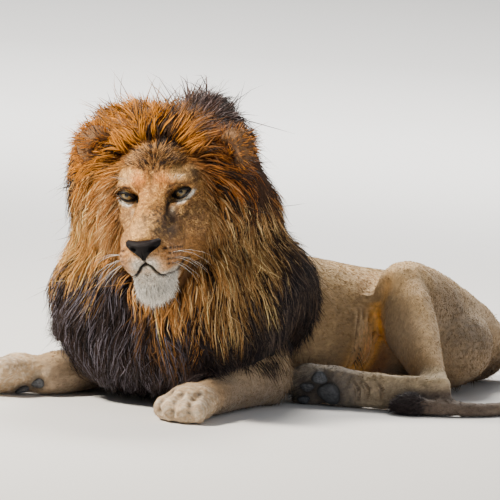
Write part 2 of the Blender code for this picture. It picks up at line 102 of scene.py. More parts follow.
# %% [markdown]
# The light is a soft lamp high on the left, a weak one on the right, a rim lamp behind and a pale sky.
# Lamps are placed from the camera's own level directions, so that left means the left of the view.


# %% Lamps and sky
def lamp(name, where, target, size, watts, colour):
    """A square soft lamp that faces a point."""
    data = bpy.data.lights.new(name, "AREA")
    data.size = size
    data.energy, data.color = watts, colour
    obj = bpy.data.objects.new(name, data)
    bpy.context.scene.collection.objects.link(obj)
    obj.location = where
    obj.rotation_euler = (Vector(target) - Vector(where)).to_track_quat("-Z", "Y").to_euler()


level_right = np.array([cos(AZIMUTH), sin(AZIMUTH), 0.0])
level_back = np.array([sin(AZIMUTH), -cos(AZIMUTH), 0.0])
AIM = LOOK_AT + 0.1 * level_right


def stand_off(right, near, height):
    """A place given as metres to the right, towards the camera, and up."""
    return Vector(AIM + right * level_right + near * level_back + np.array([0, 0, height - AIM[2]]))


lamp("key lamp", stand_off(-2.9, 1.3, 3.2), AIM, 0.7, 440, (1.0, 0.93, 0.82))
lamp("fill lamp", stand_off(2.8, 2.8, 1.2), AIM, 2.5, 16, (0.86, 0.92, 1.0))
lamp("rim lamp", stand_off(0.2, -2.2, 3.2), AIM, 1.1, 150, (1.0, 0.95, 0.88))
world = bpy.data.worlds.new("pale sky")
world.use_nodes = True
sky = world.node_tree.nodes["Background"].inputs
sky["Color"].default_value, sky["Strength"].default_value = (0.80, 0.86, 0.95, 1), 0.30
bpy.context.scene.world = world

# %% [markdown]
# The floor is a plain pale sheet that rises far behind the lion, so that no horizon shows, and it has a
# lamp of its own. Meshes are filled with whole arrays, which is much faster than lists of points.


# %% The floor
def new_piece(name, points, faces, material=None):
    """A smooth-shaded mesh object from an array of points and one of faces that all have as many sides."""
    count, sides = faces.shape
    mesh = bpy.data.meshes.new(name)
    mesh.vertices.add(len(points))
    mesh.vertices.foreach_set("co", np.asarray(points, np.float32).ravel())
    mesh.loops.add(faces.size)
    mesh.loops.foreach_set("vertex_index", faces.astype(np.int32).ravel())
    mesh.polygons.add(count)
    mesh.polygons.foreach_set("loop_start", np.arange(0, faces.size, sides, dtype=np.int32))
    mesh.polygons.foreach_set("loop_total", np.full(count, sides, np.int32))
    mesh.polygons.foreach_set("use_smooth", np.ones(count, bool))
    mesh.update(calc_edges=True)
    if material:
        mesh.materials.append(material)
    obj = bpy.data.objects.new(name, mesh)
    bpy.context.scene.collection.objects.link(obj)
    return obj


def shader(name, **sockets):
    """A new material and its main shader, with plain values set on the shader's own sockets."""
    material = bpy.data.materials.new(name)
    material.use_nodes = True
    main = material.node_tree.nodes["Principled BSDF"]
    for key, value in sockets.items():
        main.inputs[key.replace("_", " ")].default_value = value
    return material, material.node_tree, main


lamp("backdrop lamp", stand_off(0.0, -9.0, 9.0), stand_off(0.0, -16.0, 0.0), 9.0, 4200, (1.0, 0.99, 0.97))
far = np.array([(-24, 0), (12, 0), (16, 0.10), (20, 0.40), (24, 1.20)])
sheet_points = np.array([AIM * [1, 1, 0] + side * level_right - away * level_back + [0, 0, height - 0.0005]
                         for away, height in far for side in (-24.0, 24.0)])
sheet_faces = np.array([0, 1, 3, 2]) + 2 * np.arange(len(far) - 1)[:, None]
floor_paint, _, _ = shader("floor_paint", Base_Color=(0.78, 0.76, 0.73, 1), Roughness=0.9)
floor = new_piece("floor", sheet_points, sheet_faces, floor_paint)
print("floor", len(floor.data.polygons), "faces")

# %% [markdown]
# A few helpers serve the whole lesson. Soft noise is a sum of sine waves in random directions, which
# needs no lattice and works on any cloud of points. A bump is a bell curve over an ellipsoid.


# %% Small helpers
WAVES = 16  # sine waves in one soft noise
FLOOR_GAP = 0.0006  # nothing of the lion comes closer to the floor


def waves(points, size, seed):
    """Soft noise from 0 to 1: sine waves about `size` long in random directions, summed."""
    rng = np.random.default_rng(seed)
    ways = rng.normal(size=(WAVES, 3))
    ways *= (rng.uniform(0.6, 1.6, WAVES) / np.linalg.norm(ways, axis=1) * 2 * pi / size)[:, None]
    total = np.sin(points @ ways.T + rng.uniform(0, 2 * pi, WAVES)).sum(1)
    return 0.5 + 0.5 * np.tanh(total / sqrt(WAVES) * 1.2)


def drift(points, size, seed, step=1):
    """Three soft noises from -0.5 to 0.5, one for each axis."""
    return np.stack([waves(points, size, seed + step * k) - 0.5 for k in range(3)], 1)


def ease(low, high, value):
    """Smooth step: 0 below low, 1 above high, 3t^2 - 2t^3 between."""
    t = np.clip((value - low) / (high - low), 0, 1)
    return t * t * (3 - 2 * t)


def bell(points, centre, radii):
    """exp(-r^2), with r measured in the ellipsoid's own radii, or in the ball's one radius."""
    return np.exp(-(((points - np.array(centre)) / np.array(radii)) ** 2).sum(1))


def on_line(gap, width):
    """1 on a line, fading as a bell to either side of it."""
    return np.exp(-(gap / width) ** 2)


def unit(vectors):
    """Each row scaled to length one."""
    return vectors / np.maximum(np.linalg.norm(vectors, axis=-1, keepdims=True), 1e-9)


def laid_flat(way, normal):
    """Each way without its part along the normal, at length one."""
    return unit(way - normal * (way * normal).sum(1)[:, None])


def mix(a, b, share):
    """a where share is 0, b where share is 1."""
    return a + (np.asarray(b) - a) * np.asarray(share)[..., None]


def above_floor(points, low=FLOOR_GAP):
    """Lift any point below the lowest height up to it, in place."""
    points[..., 2] = np.maximum(points[..., 2], low)


def point_normals(points, triangles):
    """The mean direction of the triangles round each point, weighted by area."""
    a, b, c = (points[triangles[:, k]] for k in range(3))
    across = np.cross(b - a, c - a)
    total = np.stack([np.bincount(triangles.ravel(), np.repeat(across[:, k], 3), len(points))
                      for k in range(3)], 1)
    return unit(total)


def mesh_arrays(mesh):
    """Points, triangles and edges of a mesh as arrays."""
    points = np.empty(len(mesh.vertices) * 3)
    mesh.vertices.foreach_get("co", points)
    mesh.calc_loop_triangles()
    triangles = np.empty(len(mesh.loop_triangles) * 3, int)
    mesh.loop_triangles.foreach_get("vertices", triangles)
    edges = np.empty(len(mesh.edges) * 2, int)
    mesh.edges.foreach_get("vertices", edges)
    return points.reshape(-1, 3), triangles.reshape(-1, 3), edges.reshape(-1, 2)


def relax(values, edges, weight, rounds):
    """Each value moves towards the mean of its neighbours by its weight, again and again."""
    ends = np.concatenate([edges, edges[:, ::-1]])
    count = np.maximum(np.bincount(ends[:, 0], minlength=len(values)), 1)
    weight = np.broadcast_to(weight, len(values))[:, None]
    for _ in range(rounds):
        mean = np.stack([np.bincount(ends[:, 0], values[ends[:, 1], k], len(values))
                         for k in range(values.shape[1])], 1) / count[:, None]
        values = values + (mean - values) * weight
    return values


PLACE, NORMAL, TRIANGLE, DISTANCE = range(4)


def nearest(tree, points, wanted):
    """For each point, the place, normal, triangle or distance of a surface's nearest place."""
    return np.array([tree.find_nearest(q)[wanted] for q in points.tolist()])


def set_points(obj, points):
    """Give a mesh new places for its points."""
    obj.data.vertices.foreach_set("co", points.ravel())
    obj.data.update()


def paint(obj, name, colours):
    """Store one colour for each point of a mesh."""
    attribute = obj.data.color_attributes.new(name, "FLOAT_COLOR", "POINT")
    rgba = np.column_stack([np.clip(colours, 0, 1), np.ones(len(colours))])
    attribute.data.foreach_set("color", rgba.astype(np.float32).ravel())


def modified(obj, *changes):
    """Add each (type, settings) modifier in turn and bake the result into the mesh."""
    for kind, settings in changes:
        modifier = obj.modifiers.new(kind, kind)
        for key, value in settings.items():
            setattr(modifier, key, value)
    bpy.context.view_layer.update()
    made = bpy.data.meshes.new_from_object(obj.evaluated_get(bpy.context.evaluated_depsgraph_get()))
    obj.modifiers.clear()
    old, obj.data = obj.data, made
    bpy.data.meshes.remove(old)


print("soft noise of three places", np.round(waves(np.eye(3), 0.5, 1), 2))

# %% [markdown]
# The skin starts as a copy of every flesh solid, swelled by a millimetre so that the thin cuts between
# them close, and fused into one body by a voxel remesh. A skin could also be lofted limb by limb, but
# fusing keeps the solids' own proportions and leaves no seam anywhere. The envelope is the same with
# the mane: the outline that the tips of the hair reach.

# %% One fused skin
HEAD_NODES = ["head", "jaw", "eye_left", "eye_right", "nose"]
BODY_NODES = ["neck", "trunk", "upper_arm_left", "forearm_left", "forepaw_left", "upper_arm_right",
              "forearm_right", "forepaw_right", "thigh_left", "shank_left", "hindfoot_left",
              "thigh_right", "shank_right", "hindfoot_right", "tail_base", "tail_middle", "tail_tuft"]
MANE_NODES = ["mane_crown", "mane_left", "mane_right", "mane_chest"]


def merged_node(name, swell):
    """A node's loose triangles with shared corners, moved out along its normals."""
    points, triangles, _ = mesh_arrays(NODES[name].data)
    _, first, back = np.unique(np.round(points / 2e-5).astype(int), axis=0, return_index=True,
                               return_inverse=True)
    points, triangles = points[first], back.ravel()[triangles]
    triangles = triangles[(triangles != np.roll(triangles, 1, axis=1)).all(1)]
    return points + point_normals(points, triangles) * swell, triangles


def joined(shapes):
    """Several (points, triangles) as one."""
    starts = np.cumsum([0] + [len(points) for points, _ in shapes])
    return (np.concatenate([points for points, _ in shapes]),
            np.concatenate([triangles + start for (_, triangles), start in zip(shapes, starts)]))


def fused(name, nodes, swell, voxel, rounds):
    """One smooth closed mesh over several nodes: swelled, remeshed at a voxel size, smoothed in rounds."""
    obj = new_piece(name, *joined([merged_node(node, swell) for node in nodes]))
    modified(obj, ("REMESH", {"mode": "VOXEL", "voxel_size": voxel}),
             ("SMOOTH", {"factor": 0.5, "iterations": rounds}))
    return obj


skin = fused("skin", HEAD_NODES + BODY_NODES, swell=0.0012, voxel=0.0095, rounds=4)
envelope = fused("envelope", HEAD_NODES + BODY_NODES + MANE_NODES, swell=0.0015, voxel=0.012, rounds=8)
ENVELOPE_POINTS, ENVELOPE_TRIANGLES, _ = mesh_arrays(envelope.data)
ENVELOPE_NORMALS = point_normals(ENVELOPE_POINTS, ENVELOPE_TRIANGLES)
ENVELOPE_TREE = BVHTree.FromPolygons(ENVELOPE_POINTS.tolist(), ENVELOPE_TRIANGLES.tolist())
bpy.data.objects.remove(envelope)
print("skin", len(skin.data.vertices), "points; envelope", len(ENVELOPE_POINTS))

# %% [markdown]
# The head and the paws carry small forms such as lids, lips and toes, so their faces are cut into
# smaller ones before anything is pushed about. The rest of the body keeps its larger faces.


# %% Finer points on head and paws
def frame_at(place, yaw, pitch, roll):
    """A body part's own frame: -Y forward, X to its left, Z up, then yaw, pitch and roll."""
    return (Matrix.Translation(place) @ Matrix.Rotation(radians(yaw), 4, "Z")
            @ Matrix.Rotation(radians(pitch), 4, "X") @ Matrix.Rotation(radians(roll), 4, "Y"))


def into(frame, points):
    """World points as seen from a frame."""
    m = np.array(frame.inverted())
    return points @ m[:3, :3].T + m[:3, 3]


def out_of(frame, points):
    """Points of a frame as world points."""
    m = np.array(frame)
    return points @ m[:3, :3].T + m[:3, 3]


def near_line(points, line):
    """Distance to a broken line, and how far along it (0 to 1) the nearest place is."""
    line = np.array(line, float)
    lengths = np.linalg.norm(np.diff(line, axis=0), axis=1)
    start = np.concatenate([[0], np.cumsum(lengths)])
    best, along = np.full(len(points), 9.0), np.zeros(len(points))
    for a, way, length, begun in zip(line[:-1], np.diff(line, axis=0), lengths, start):
        t = np.clip((points - a) @ way / length ** 2, 0, 1)
        gap = np.linalg.norm(points - a - t[:, None] * way, axis=1)
        along = np.where(gap < best, (begun + t * length) / start[-1], along)
        best = np.minimum(gap, best)
    return best, along


def laid_on(tree, line, frame=None, step=0.006):
    """A broken line cut into short steps, each point then moved to the nearest skin."""
    line = np.array(line, float)
    along = np.concatenate([[0], np.cumsum(np.linalg.norm(np.diff(line, axis=0), axis=1))])
    at = np.linspace(0, along[-1], max(3, int(along[-1] / step) + 1))
    fine = np.column_stack([np.interp(at, along, line[:, k]) for k in range(3)])
    if frame:
        return into(frame, laid_on(tree, out_of(frame, fine), None, step))
    return nearest(tree, fine, PLACE)


HEAD = frame_at((0.213, -0.776, 0.470), 36.0, 4.5, -8.4)
PAWS = {"forepaw_left": (frame_at((0.356, -0.762, 0), 20, 0, 0), 1.0, 1.0),
        "forepaw_right": (frame_at((-0.074, -0.880, 0.022), -6, 0, -48), 0.92, 1.0),
        "hindfoot_left": (frame_at((0.256, -0.240, 0.047), -49.5, 0, -62)
                          @ Matrix.Translation((0, 0, -0.034)), 0.86, 0.9),
        "hindfoot_right": (frame_at((-0.356, 0.135, 0), -12, 0, 0), 0.86, 0.9)}
MANE = Matrix.Translation((0.1414, -0.396, 0)) @ Matrix.Rotation(radians(45), 4, "Z")


def refine(obj, chosen, cuts):
    """Cut every edge between two chosen points, and fill the faces with smaller ones."""
    bm = bmesh.new()
    bm.from_mesh(obj.data)
    edges = [e for e in bm.edges if chosen[e.verts[0].index] and chosen[e.verts[1].index]]
    bmesh.ops.subdivide_edges(bm, edges=edges, cuts=cuts, use_grid_fill=True)
    bm.to_mesh(obj.data)
    bm.free()
    obj.data.polygons.foreach_set("use_smooth", np.ones(len(obj.data.polygons), bool))


def face_zone(points):
    """True on the face, ahead of the mane."""
    h = into(HEAD, points)
    return (h[:, 1] < 0.066) & (abs(h[:, 0]) < 0.125) & (h[:, 2] > -0.215) & (h[:, 2] < 0.118)


def feature_zone(points):
    """True round the eyes and along the mouth."""
    h = into(HEAD, points)
    lips = (abs(h[:, 2] + 0.140) < 0.025) & (abs(h[:, 0]) < 0.080) & (h[:, 1] < -0.005)
    eyes = (abs(h[:, 2] - 0.002) < 0.026) & (abs(abs(h[:, 0]) - 0.062) < 0.034) & (h[:, 1] < 0.030)
    return lips | eyes


def paw_zone(points, back=0.035):
    """True on the four paws."""
    found = np.zeros(len(points), bool)
    for paw, _, _ in PAWS.values():
        p = into(paw, points)
        found |= ((abs(p[:, 0]) < 0.085) & (p[:, 1] > -0.125) & (p[:, 1] < back)
                  & (abs(p[:, 2] - 0.035) < 0.075))
    return found


def fold_zone(points):
    """True where the flank folds before the knee, and on the hind foot's creased sole."""
    flank = (abs(points - [0.170, 0.0, 0.150]) < [0.045, 0.075, 0.135]).all(1)
    sole = (abs(points - [0.350, -0.210, 0.045]) < [0.050, 0.045, 0.050]).all(1)
    return flank | (sole & ~paw_zone(points))


for zone, cuts in ((face_zone, 2), (feature_zone, 1), (paw_zone, 1), (fold_zone, 2)):
    refine(skin, zone(mesh_arrays(skin.data)[0]), cuts)
P, T, E = mesh_arrays(skin.data)
P = relax(P, E, np.where(face_zone(P), 0.5, np.where(paw_zone(P), 0.4, 0.0)), 10)
print("skin", len(P), "points,", len(T), "triangles")

# %% [markdown]
# Each lid is part of the skin: an almond is marked in front of the eyeball, skin inside it sinks
# behind the ball, and a band round it lies on the ball, thick enough to look like a lid. The almond
# tips inward and down, which gives a big cat its stern look.


# %% The lids
def mirrored(h):
    """Head-frame points with the right side folded onto the left: |x|, y, z."""
    return np.column_stack([abs(h[:, 0]), h[:, 1:]])


EYE = np.array([0.0605, 0.0130, 0.0140])
EYE_RADIUS = 0.0190
INNER, OUTER = (0.0430, 0.0070), (0.0795, 0.0185)
LID_POINTS = 24  # along each lid


def lid_heights(q):
    """Line between the corners, and how far the upper and the lower lid stand off it, at share q along."""
    arc = np.sin(pi * q)
    return INNER[1] + (OUTER[1] - INNER[1]) * q, 0.0080 * arc ** 0.8, 0.0092 * arc ** 0.85


def almond():
    """The opening's outline seen from the front: x across, z up. Two arcs of different height."""
    q = np.linspace(0, 1, LID_POINTS)
    middle, up, low = lid_heights(q)
    x = INNER[0] + (OUTER[0] - INNER[0]) * q
    return np.column_stack([np.concatenate([x, x[-2:0:-1]]), np.zeros(2 * LID_POINTS - 2),
                            np.concatenate([middle + up, (middle - low)[-2:0:-1]])])


ALMOND = almond()


def ball_front(h):
    """The y of the eyeball's front at each (x, z), levelling off past its edge."""
    reach = EYE_RADIUS ** 2 - (h[:, 0] - EYE[0]) ** 2 - (h[:, 2] - EYE[2]) ** 2
    return EYE[1] - np.sqrt(np.maximum(reach, (0.25 * EYE_RADIUS) ** 2))


def lid_gap(h):
    """Signed distance in the x-z plane to the almond: negative inside. h has |x|."""
    flat = h * [1, 0, 1]
    gap, _ = near_line(flat, np.vstack([ALMOND, ALMOND[:1]]))
    q = np.clip((h[:, 0] - INNER[0]) / (OUTER[0] - INNER[0]), 0, 1)
    middle, up, low = lid_heights(q)
    height = np.where(h[:, 2] > middle, up, low)
    return np.where((abs(h[:, 2] - middle) < height) & (q > 0) & (q < 1), -gap, gap)


print("eye opening", len(ALMOND), "points,", np.round(np.ptp(ALMOND, axis=0) * 1000, 1), "mm")

# %% [markdown]
# The rest of the face is sculpted with soft pushes, each a bell in the head's own frame: brow, cheek
# bone, whisker pad, lip and chin. The mouth, the line under the nose and the tear lines are grooves.
# One table serves both sides, because the right side is folded onto the left first.

# %% The face's forms
TEAR = [(0.0440, 0.001, 0.0065), (0.0385, -0.0125, 0.0015), (0.0355, -0.036, -0.0080),
        (0.0385, -0.062, -0.0210), (0.0420, -0.084, -0.0330)]
MOUTH = [(0, -0.160, -0.1235), (0.012, -0.158, -0.1300), (0.026, -0.148, -0.1400),
         (0.041, -0.115, -0.1520), (0.056, -0.060, -0.1560), (0.066, -0.020, -0.1500),
         (0.074, 0.008, -0.1420)]
PHILTRUM = [(0, -0.178, -0.104), (0, -0.172, -0.115), (0, -0.158, -0.1245)]


def face_shape(h):
    """Head-frame points moved by bells (rises and hollows) and grooves, alike on both sides."""
    m = mirrored(h)
    side = np.sign(h[:, 0])
    front = ease(0.060, 0.030, m[:, 1])
    move = np.zeros_like(m)
    for centre, radii, push in (
            ((0.058, -0.002, 0.040), (0.028, 0.024, 0.011), (0.000, -0.0080, 0.0000)),  # brow
            ((0.038, -0.014, 0.024), (0.010, 0.020, 0.013), (0.000, -0.0050, 0.0000)),  # frown
            ((0.082, 0.006, 0.030), (0.014, 0.022, 0.010), (0.000, -0.0040, -0.0020)),  # brow's outer end
            ((0.000, -0.012, 0.060), (0.009, 0.040, 0.036), (0.000, 0.0045, -0.0010)),  # furrow
            ((0.030, 0.004, 0.068), (0.017, 0.030, 0.024), (0.000, -0.0030, 0.0015)),  # forehead
            ((0.000, -0.080, -0.022), (0.020, 0.055, 0.022), (0.000, 0.0000, 0.0025)),  # bridge top
            ((0.029, -0.095, -0.033), (0.009, 0.050, 0.011), (0.0020, -0.001, 0.0025)),  # bridge edge
            ((0.050, -0.060, -0.045), (0.016, 0.040, 0.014), (-0.0050, 0.004, 0.0000)),  # beside bridge
            ((0.041, -0.018, 0.001), (0.009, 0.014, 0.011), (-0.0020, 0.008, 0.0000)),  # inner corner
            ((0.064, -0.006, -0.009), (0.022, 0.020, 0.0055), (0.000, -0.0035, 0.0000)),  # lower lid bag
            ((0.062, -0.014, -0.021), (0.024, 0.024, 0.008), (0.000, 0.0035, 0.0000)),  # below the bag
            ((0.078, 0.004, -0.036), (0.018, 0.022, 0.014), (0.0030, -0.0050, 0.0)),  # cheek bone
            ((0.096, 0.030, 0.020), (0.018, 0.020, 0.018), (-0.0040, 0.0010, 0.0)),  # temple
            ((0.037, -0.142, -0.100), (0.024, 0.034, 0.022), (-0.0020, -0.0050, 0.0)),  # whisker pad
            ((0.034, -0.134, -0.134), (0.020, 0.034, 0.014), (-0.0020, -0.0040, -0.0050)),  # pad's low edge
            ((0.050, -0.080, -0.145), (0.018, 0.040, 0.013), (0.0020, -0.001, -0.0060)),  # lip
            ((0.000, -0.152, -0.158), (0.026, 0.020, 0.016), (0.000, -0.0060, 0.0000)),  # chin
            ((0.070, 0.000, -0.110), (0.020, 0.034, 0.034), (-0.0050, 0.0020, 0.0)),  # cheek hollow
            ((0.000, -0.168, -0.064), (0.030, 0.014, 0.010), (0.000, -0.0020, 0.0035)),  # above the nose
            ((0.000, -0.172, -0.086), (0.033, 0.024, 0.019), (0.000, 0.0140, 0.0000))):  # behind the nose
        move += bell(m, centre, radii)[:, None] * push
    for line, width, depth in ((MOUTH, 0.0036, 0.0105), (PHILTRUM, 0.0030, 0.0050), (TEAR, 0.0042, 0.0045)):
        gap, along = near_line(m, line)
        inward = unit(np.array([0.0, 0.0, -0.080]) - m + [0, 0.02, 0])
        move += (depth * on_line(gap, width) * (1 - 0.45 * along))[:, None] * inward
    m = m + move * front[:, None]
    gap = lid_gap(m)
    ball = ball_front(m)
    crease = on_line(gap - 0.0075, 0.0022) * (m[:, 2] > EYE[2])
    lid = np.where(gap < 0, ball + 0.0055, ball - 0.0022)
    near = ease(0.0145, 0.0030, gap) * (m[:, 1] < 0.034) * (abs(m[:, 0] - EYE[0]) < 0.040)
    m[:, 1] = m[:, 1] + (lid - m[:, 1]) * near + 0.0022 * crease * near
    m[:, 0] *= np.where(side == 0, 1, side)
    return m


on_face = face_zone(P)
rough_tree = BVHTree.FromPolygons(P.tolist(), T.tolist())
MOUTH, PHILTRUM, TEAR = (laid_on(rough_tree, line, HEAD) for line in (MOUTH, PHILTRUM, TEAR))
P[on_face] = out_of(HEAD, face_shape(into(HEAD, P[on_face])))
P = relax(P, E, np.where(on_face & (lid_gap(mirrored(into(HEAD, P))) > 0.002), 0.35, 0.0), 2)
MOUTH, PHILTRUM, TEAR = ([tuple(p) for p in mirrored(face_shape(np.array(line)))]
                         for line in (MOUTH, PHILTRUM, TEAR))
print("face points", on_face.sum())

# %% [markdown]
# The body's own soft forms come next: toes parted by grooves, the folds of loose skin where the
# flank meets the raised knee, ribs and muscle under a thin coat, and creases on the turned-up sole.
# Then the whole skin sinks by the depth of the coat, so that the fur's tips end where the solids do.

# %% Folds, ribs and toes
FLANK_FOLDS = [([(0.174, -0.046, 0.205), (0.176, -0.055, 0.123), (0.161, -0.054, 0.050)], 0.0046, 0.0105),
               ([(0.173, -0.030, 0.205), (0.175, -0.038, 0.123), (0.158, -0.036, 0.056)], 0.0048, 0.0120),
               ([(0.175, -0.014, 0.200), (0.176, -0.018, 0.134), (0.160, -0.018, 0.046)], 0.0052, 0.0130),
               ([(0.172, 0.006, 0.180), (0.172, -0.001, 0.120), (0.158, -0.002, 0.046)], 0.0048, 0.0100)]
RIBS = [[(0.150, y0 - 0.02, 0.300), (0.185, y0, 0.200), (0.170, y0 + 0.03, 0.090)]
        for y0 in (-0.250, -0.205, -0.160, -0.115, -0.070)]
CREASES = [([(0.334, -0.228, 0.072), (0.340, -0.214, 0.048), (0.336, -0.206, 0.018)], 0.0026, 0.0034),
           ([(0.350, -0.214, 0.074), (0.357, -0.200, 0.050), (0.352, -0.194, 0.020)], 0.0024, 0.0026),
           ([(0.374, -0.190, 0.074), (0.382, -0.180, 0.050), (0.376, -0.176, 0.022)], 0.0030, 0.0030)]
# A pad: its foot, its middle, and its half sizes along the ground, across that, and outward.
PADS = (("hindfoot_left", (0.275, -0.276, 0.066), (0.0200, 0.0145, 0.0052)),
        ("hindfoot_left", (0.250, -0.290, 0.043), (0.0165, 0.0125, 0.0052)),
        ("hindfoot_left", (0.235, -0.282, 0.012), (0.0150, 0.0100, 0.0050)),
        ("hindfoot_left", (0.289, -0.256, 0.031), (0.0290, 0.0270, 0.0036)),
        ("forepaw_right", (-0.080, -0.867, 0.016), (0.0175, 0.0110, 0.0050)),
        ("forepaw_right", (-0.057, -0.840, 0.030), (0.0150, 0.0125, 0.0050)))


def toe_grooves(points):
    """How deep each point lies in a groove between two toes, from 0 to 1, and on a toe's crown."""
    groove, crown = np.zeros(len(points)), np.zeros(len(points))
    for paw, scale, reach in PAWS.values():
        p = into(paw, points) / [scale, reach, 1]
        for x, top in ((0.0, -0.092), (0.031, -0.082), (-0.031, -0.082)):
            parting = [(x, -0.018, 0.062), (x * 1.08, top * 0.75, 0.056), (x * 1.15, top, 0.008)]
            gap, _ = near_line(p, parting)
            groove = np.maximum(groove, on_line(gap, 0.0055) * (p[:, 2] > -0.004))
        for x, y in ((0.016, -0.062), (0.046, -0.046), (-0.016, -0.062), (-0.046, -0.046)):
            crown = np.maximum(crown, bell(p, (x, y, 0.034), (0.014, 0.030, 0.022)))
    return groove, crown


FACE_COAT, PAW_COAT, BODY_COAT = 0.0018, 0.0025, 0.0045  # how far the skin lies inside the solids


def sunk(line, depth):
    """A line on the body moved in by the coat, and by a further depth that fades at its ends."""
    fade = np.sin(pi * np.linspace(0, 1, len(line)))
    inward = -nearest(body_tree, line, NORMAL)
    return nearest(body_tree, line, PLACE) + (BODY_COAT + depth * fade)[:, None] * inward


N = point_normals(P, T)
body_tree = BVHTree.FromPolygons(P.tolist(), T.tolist())
FOLDS = [(laid_on(body_tree, line, None, 0.012), width, depth)
         for line, width, depth in FLANK_FOLDS + CREASES]
FOLD_LINES = [(sunk(line, 0.0), sunk(line, 0.9 * depth), width) for line, width, depth in FOLDS]
groove, crown = toe_grooves(P)
shift = -0.0090 * groove + 0.0045 * crown
for line, width, depth in FOLDS:
    gap, along = near_line(P, line)
    fade = np.sin(pi * np.clip(along, 0, 1))
    shift -= depth * on_line(gap, width) * fade
    shift += 0.40 * depth * on_line(gap - 1.9 * width, width) * fade
for line in RIBS:
    gap, along = near_line(P, laid_on(body_tree, line, None, 0.02))
    shift -= 0.0028 * on_line(gap, 0.013) * np.sin(pi * along)
muscle = 0.0022 * (waves(P, 0.075, 5) - 0.5) + 0.0016 * (waves(P * [1, 1, 0.5], 0.022, 6) - 0.5)
P = P + N * (shift + muscle * ~on_face)[:, None]
COAT_DEPTH = np.where(on_face, FACE_COAT, np.where(paw_zone(P), PAW_COAT, BODY_COAT))
tuft = [bell(P, middle, 0.030)
        for middle in ((0.452, -0.153, 0.028), (0.432, -0.178, 0.026), (0.417, -0.194, 0.022))]
COAT_DEPTH = COAT_DEPTH + 0.0065 * np.max(tuft, axis=0)  # the tail's tuft is mostly hair
COAT_DEPTH = relax(COAT_DEPTH[:, None], E, 0.5, 8)[:, 0]
COAT_DEPTH *= 0.12 + 0.88 * ease(0.003, 0.022, P[:, 2])  # pressed flat where the lion rests
P = P - point_normals(P, T) * COAT_DEPTH[:, None]
above_floor(P)
set_points(skin, P)
N = point_normals(P, T)
SKIN_TREE = BVHTree.FromPolygons(P.tolist(), T.tolist())
print("skin shaped:", len(P), "points")

# %% [markdown]
# A lion is tan above, paler below and on the paws, with a white chin, black rims to the eyes and a
# dark line running down from each inner corner. Skin and fur read their colour from the same
# function of place, so every tuft matches the skin it grows from. Colours are linear.

# %% The colours of the face
TAN, GOLD, GREY = (0.46, 0.315, 0.168), (0.62, 0.415, 0.190), (0.23, 0.185, 0.145)
WHITE, BLACK, SHADE_UNDER_MANE = (0.84, 0.78, 0.69), (0.012, 0.010, 0.010), (0.10, 0.065, 0.042)


def layered(colour, *layers):
    """Each point's colour moved towards every layer's target in turn, by that layer's share."""
    for target, share in layers:
        colour = mix(colour, target, np.clip(share, 0, 1))
    return colour


WHISKER_ROWS = (-0.086, -0.0975, -0.109, -0.1205)  # heights of the rows of spots, in the head frame
# A mark on the face: colour, strength, middle and radii in the head frame, the right side's share of it.
MARKS = (((0.70, 0.330, 0.090), 0.90, (0.032, -0.010, 0.048), (0.026, 0.03, 0.022), 1.0),  # warm brow
         ((0.93, 0.680, 0.370), 0.70, (0.054, 0.000, 0.062), (0.026, 0.03, 0.012), 0.6),  # pale forehead
         ((0.15, 0.075, 0.030), 0.85, (0.000, -0.010, 0.060), (0.0055, 0.05, 0.022), 1.0),  # furrow
         ((0.92, 0.700, 0.420), 0.85, (0.064, -0.006, 0.048), (0.020, 0.03, 0.0070), 0.6),  # pale bar on it
         ((0.13, 0.060, 0.028), 0.90, (0.060, -0.006, 0.0325), (0.026, 0.03, 0.0038), 1.0),  # over the lid
         ((0.15, 0.090, 0.050), 0.90, (0.038, -0.018, 0.020), (0.008, 0.02, 0.013), 0.5),  # frown
         ((0.15, 0.120, 0.085), 0.90, (0.092, 0.014, 0.062), (0.018, 0.045, 0.032), 0.8),  # temple
         ((0.74, 0.420, 0.140), 0.85, (0.0, -0.060, -0.018), (0.028, 0.06, 0.03), 1.0),  # bridge
         ((0.84, 0.580, 0.300), 0.85, (0.0, -0.130, -0.050), (0.032, 0.04, 0.03), 1.0),  # above the nose
         ((0.11, 0.080, 0.060), 0.85, (0.025, -0.132, -0.056), (0.014, 0.03, 0.015), 0.0),  # scuff over it
         # the next two marks are painted shade on the bridge's shaded side, most of it on the left
         ((0.100, 0.080, 0.072), 0.95, (0.047, -0.050, -0.031), (0.012, 0.040, 0.020), 0.35),  # beside bridge
         ((0.150, 0.115, 0.095), 0.90, (0.050, -0.095, -0.062), (0.015, 0.035, 0.022), 0.25),  # lower down
         ((0.24, 0.160, 0.100), 0.80, (0.068, -0.030, -0.032), (0.026, 0.035, 0.020), 0.45),  # under the eye
         ((0.36, 0.225, 0.110), 0.80, (0.088, 0.01, -0.060), (0.034, 0.06, 0.060), 1.0),  # cheek
         ((0.90, 0.80, 0.66), 1.00, (0.0450, -0.042, -0.0180), (0.0048, 0.017, 0.0080), 0.5),  # white fleck
         ((0.010, 0.010, 0.012), 1.30, (0.0400, -0.010, 0.0030), (0.0060, 0.02, 0.0075), 0.9))  # inner corner


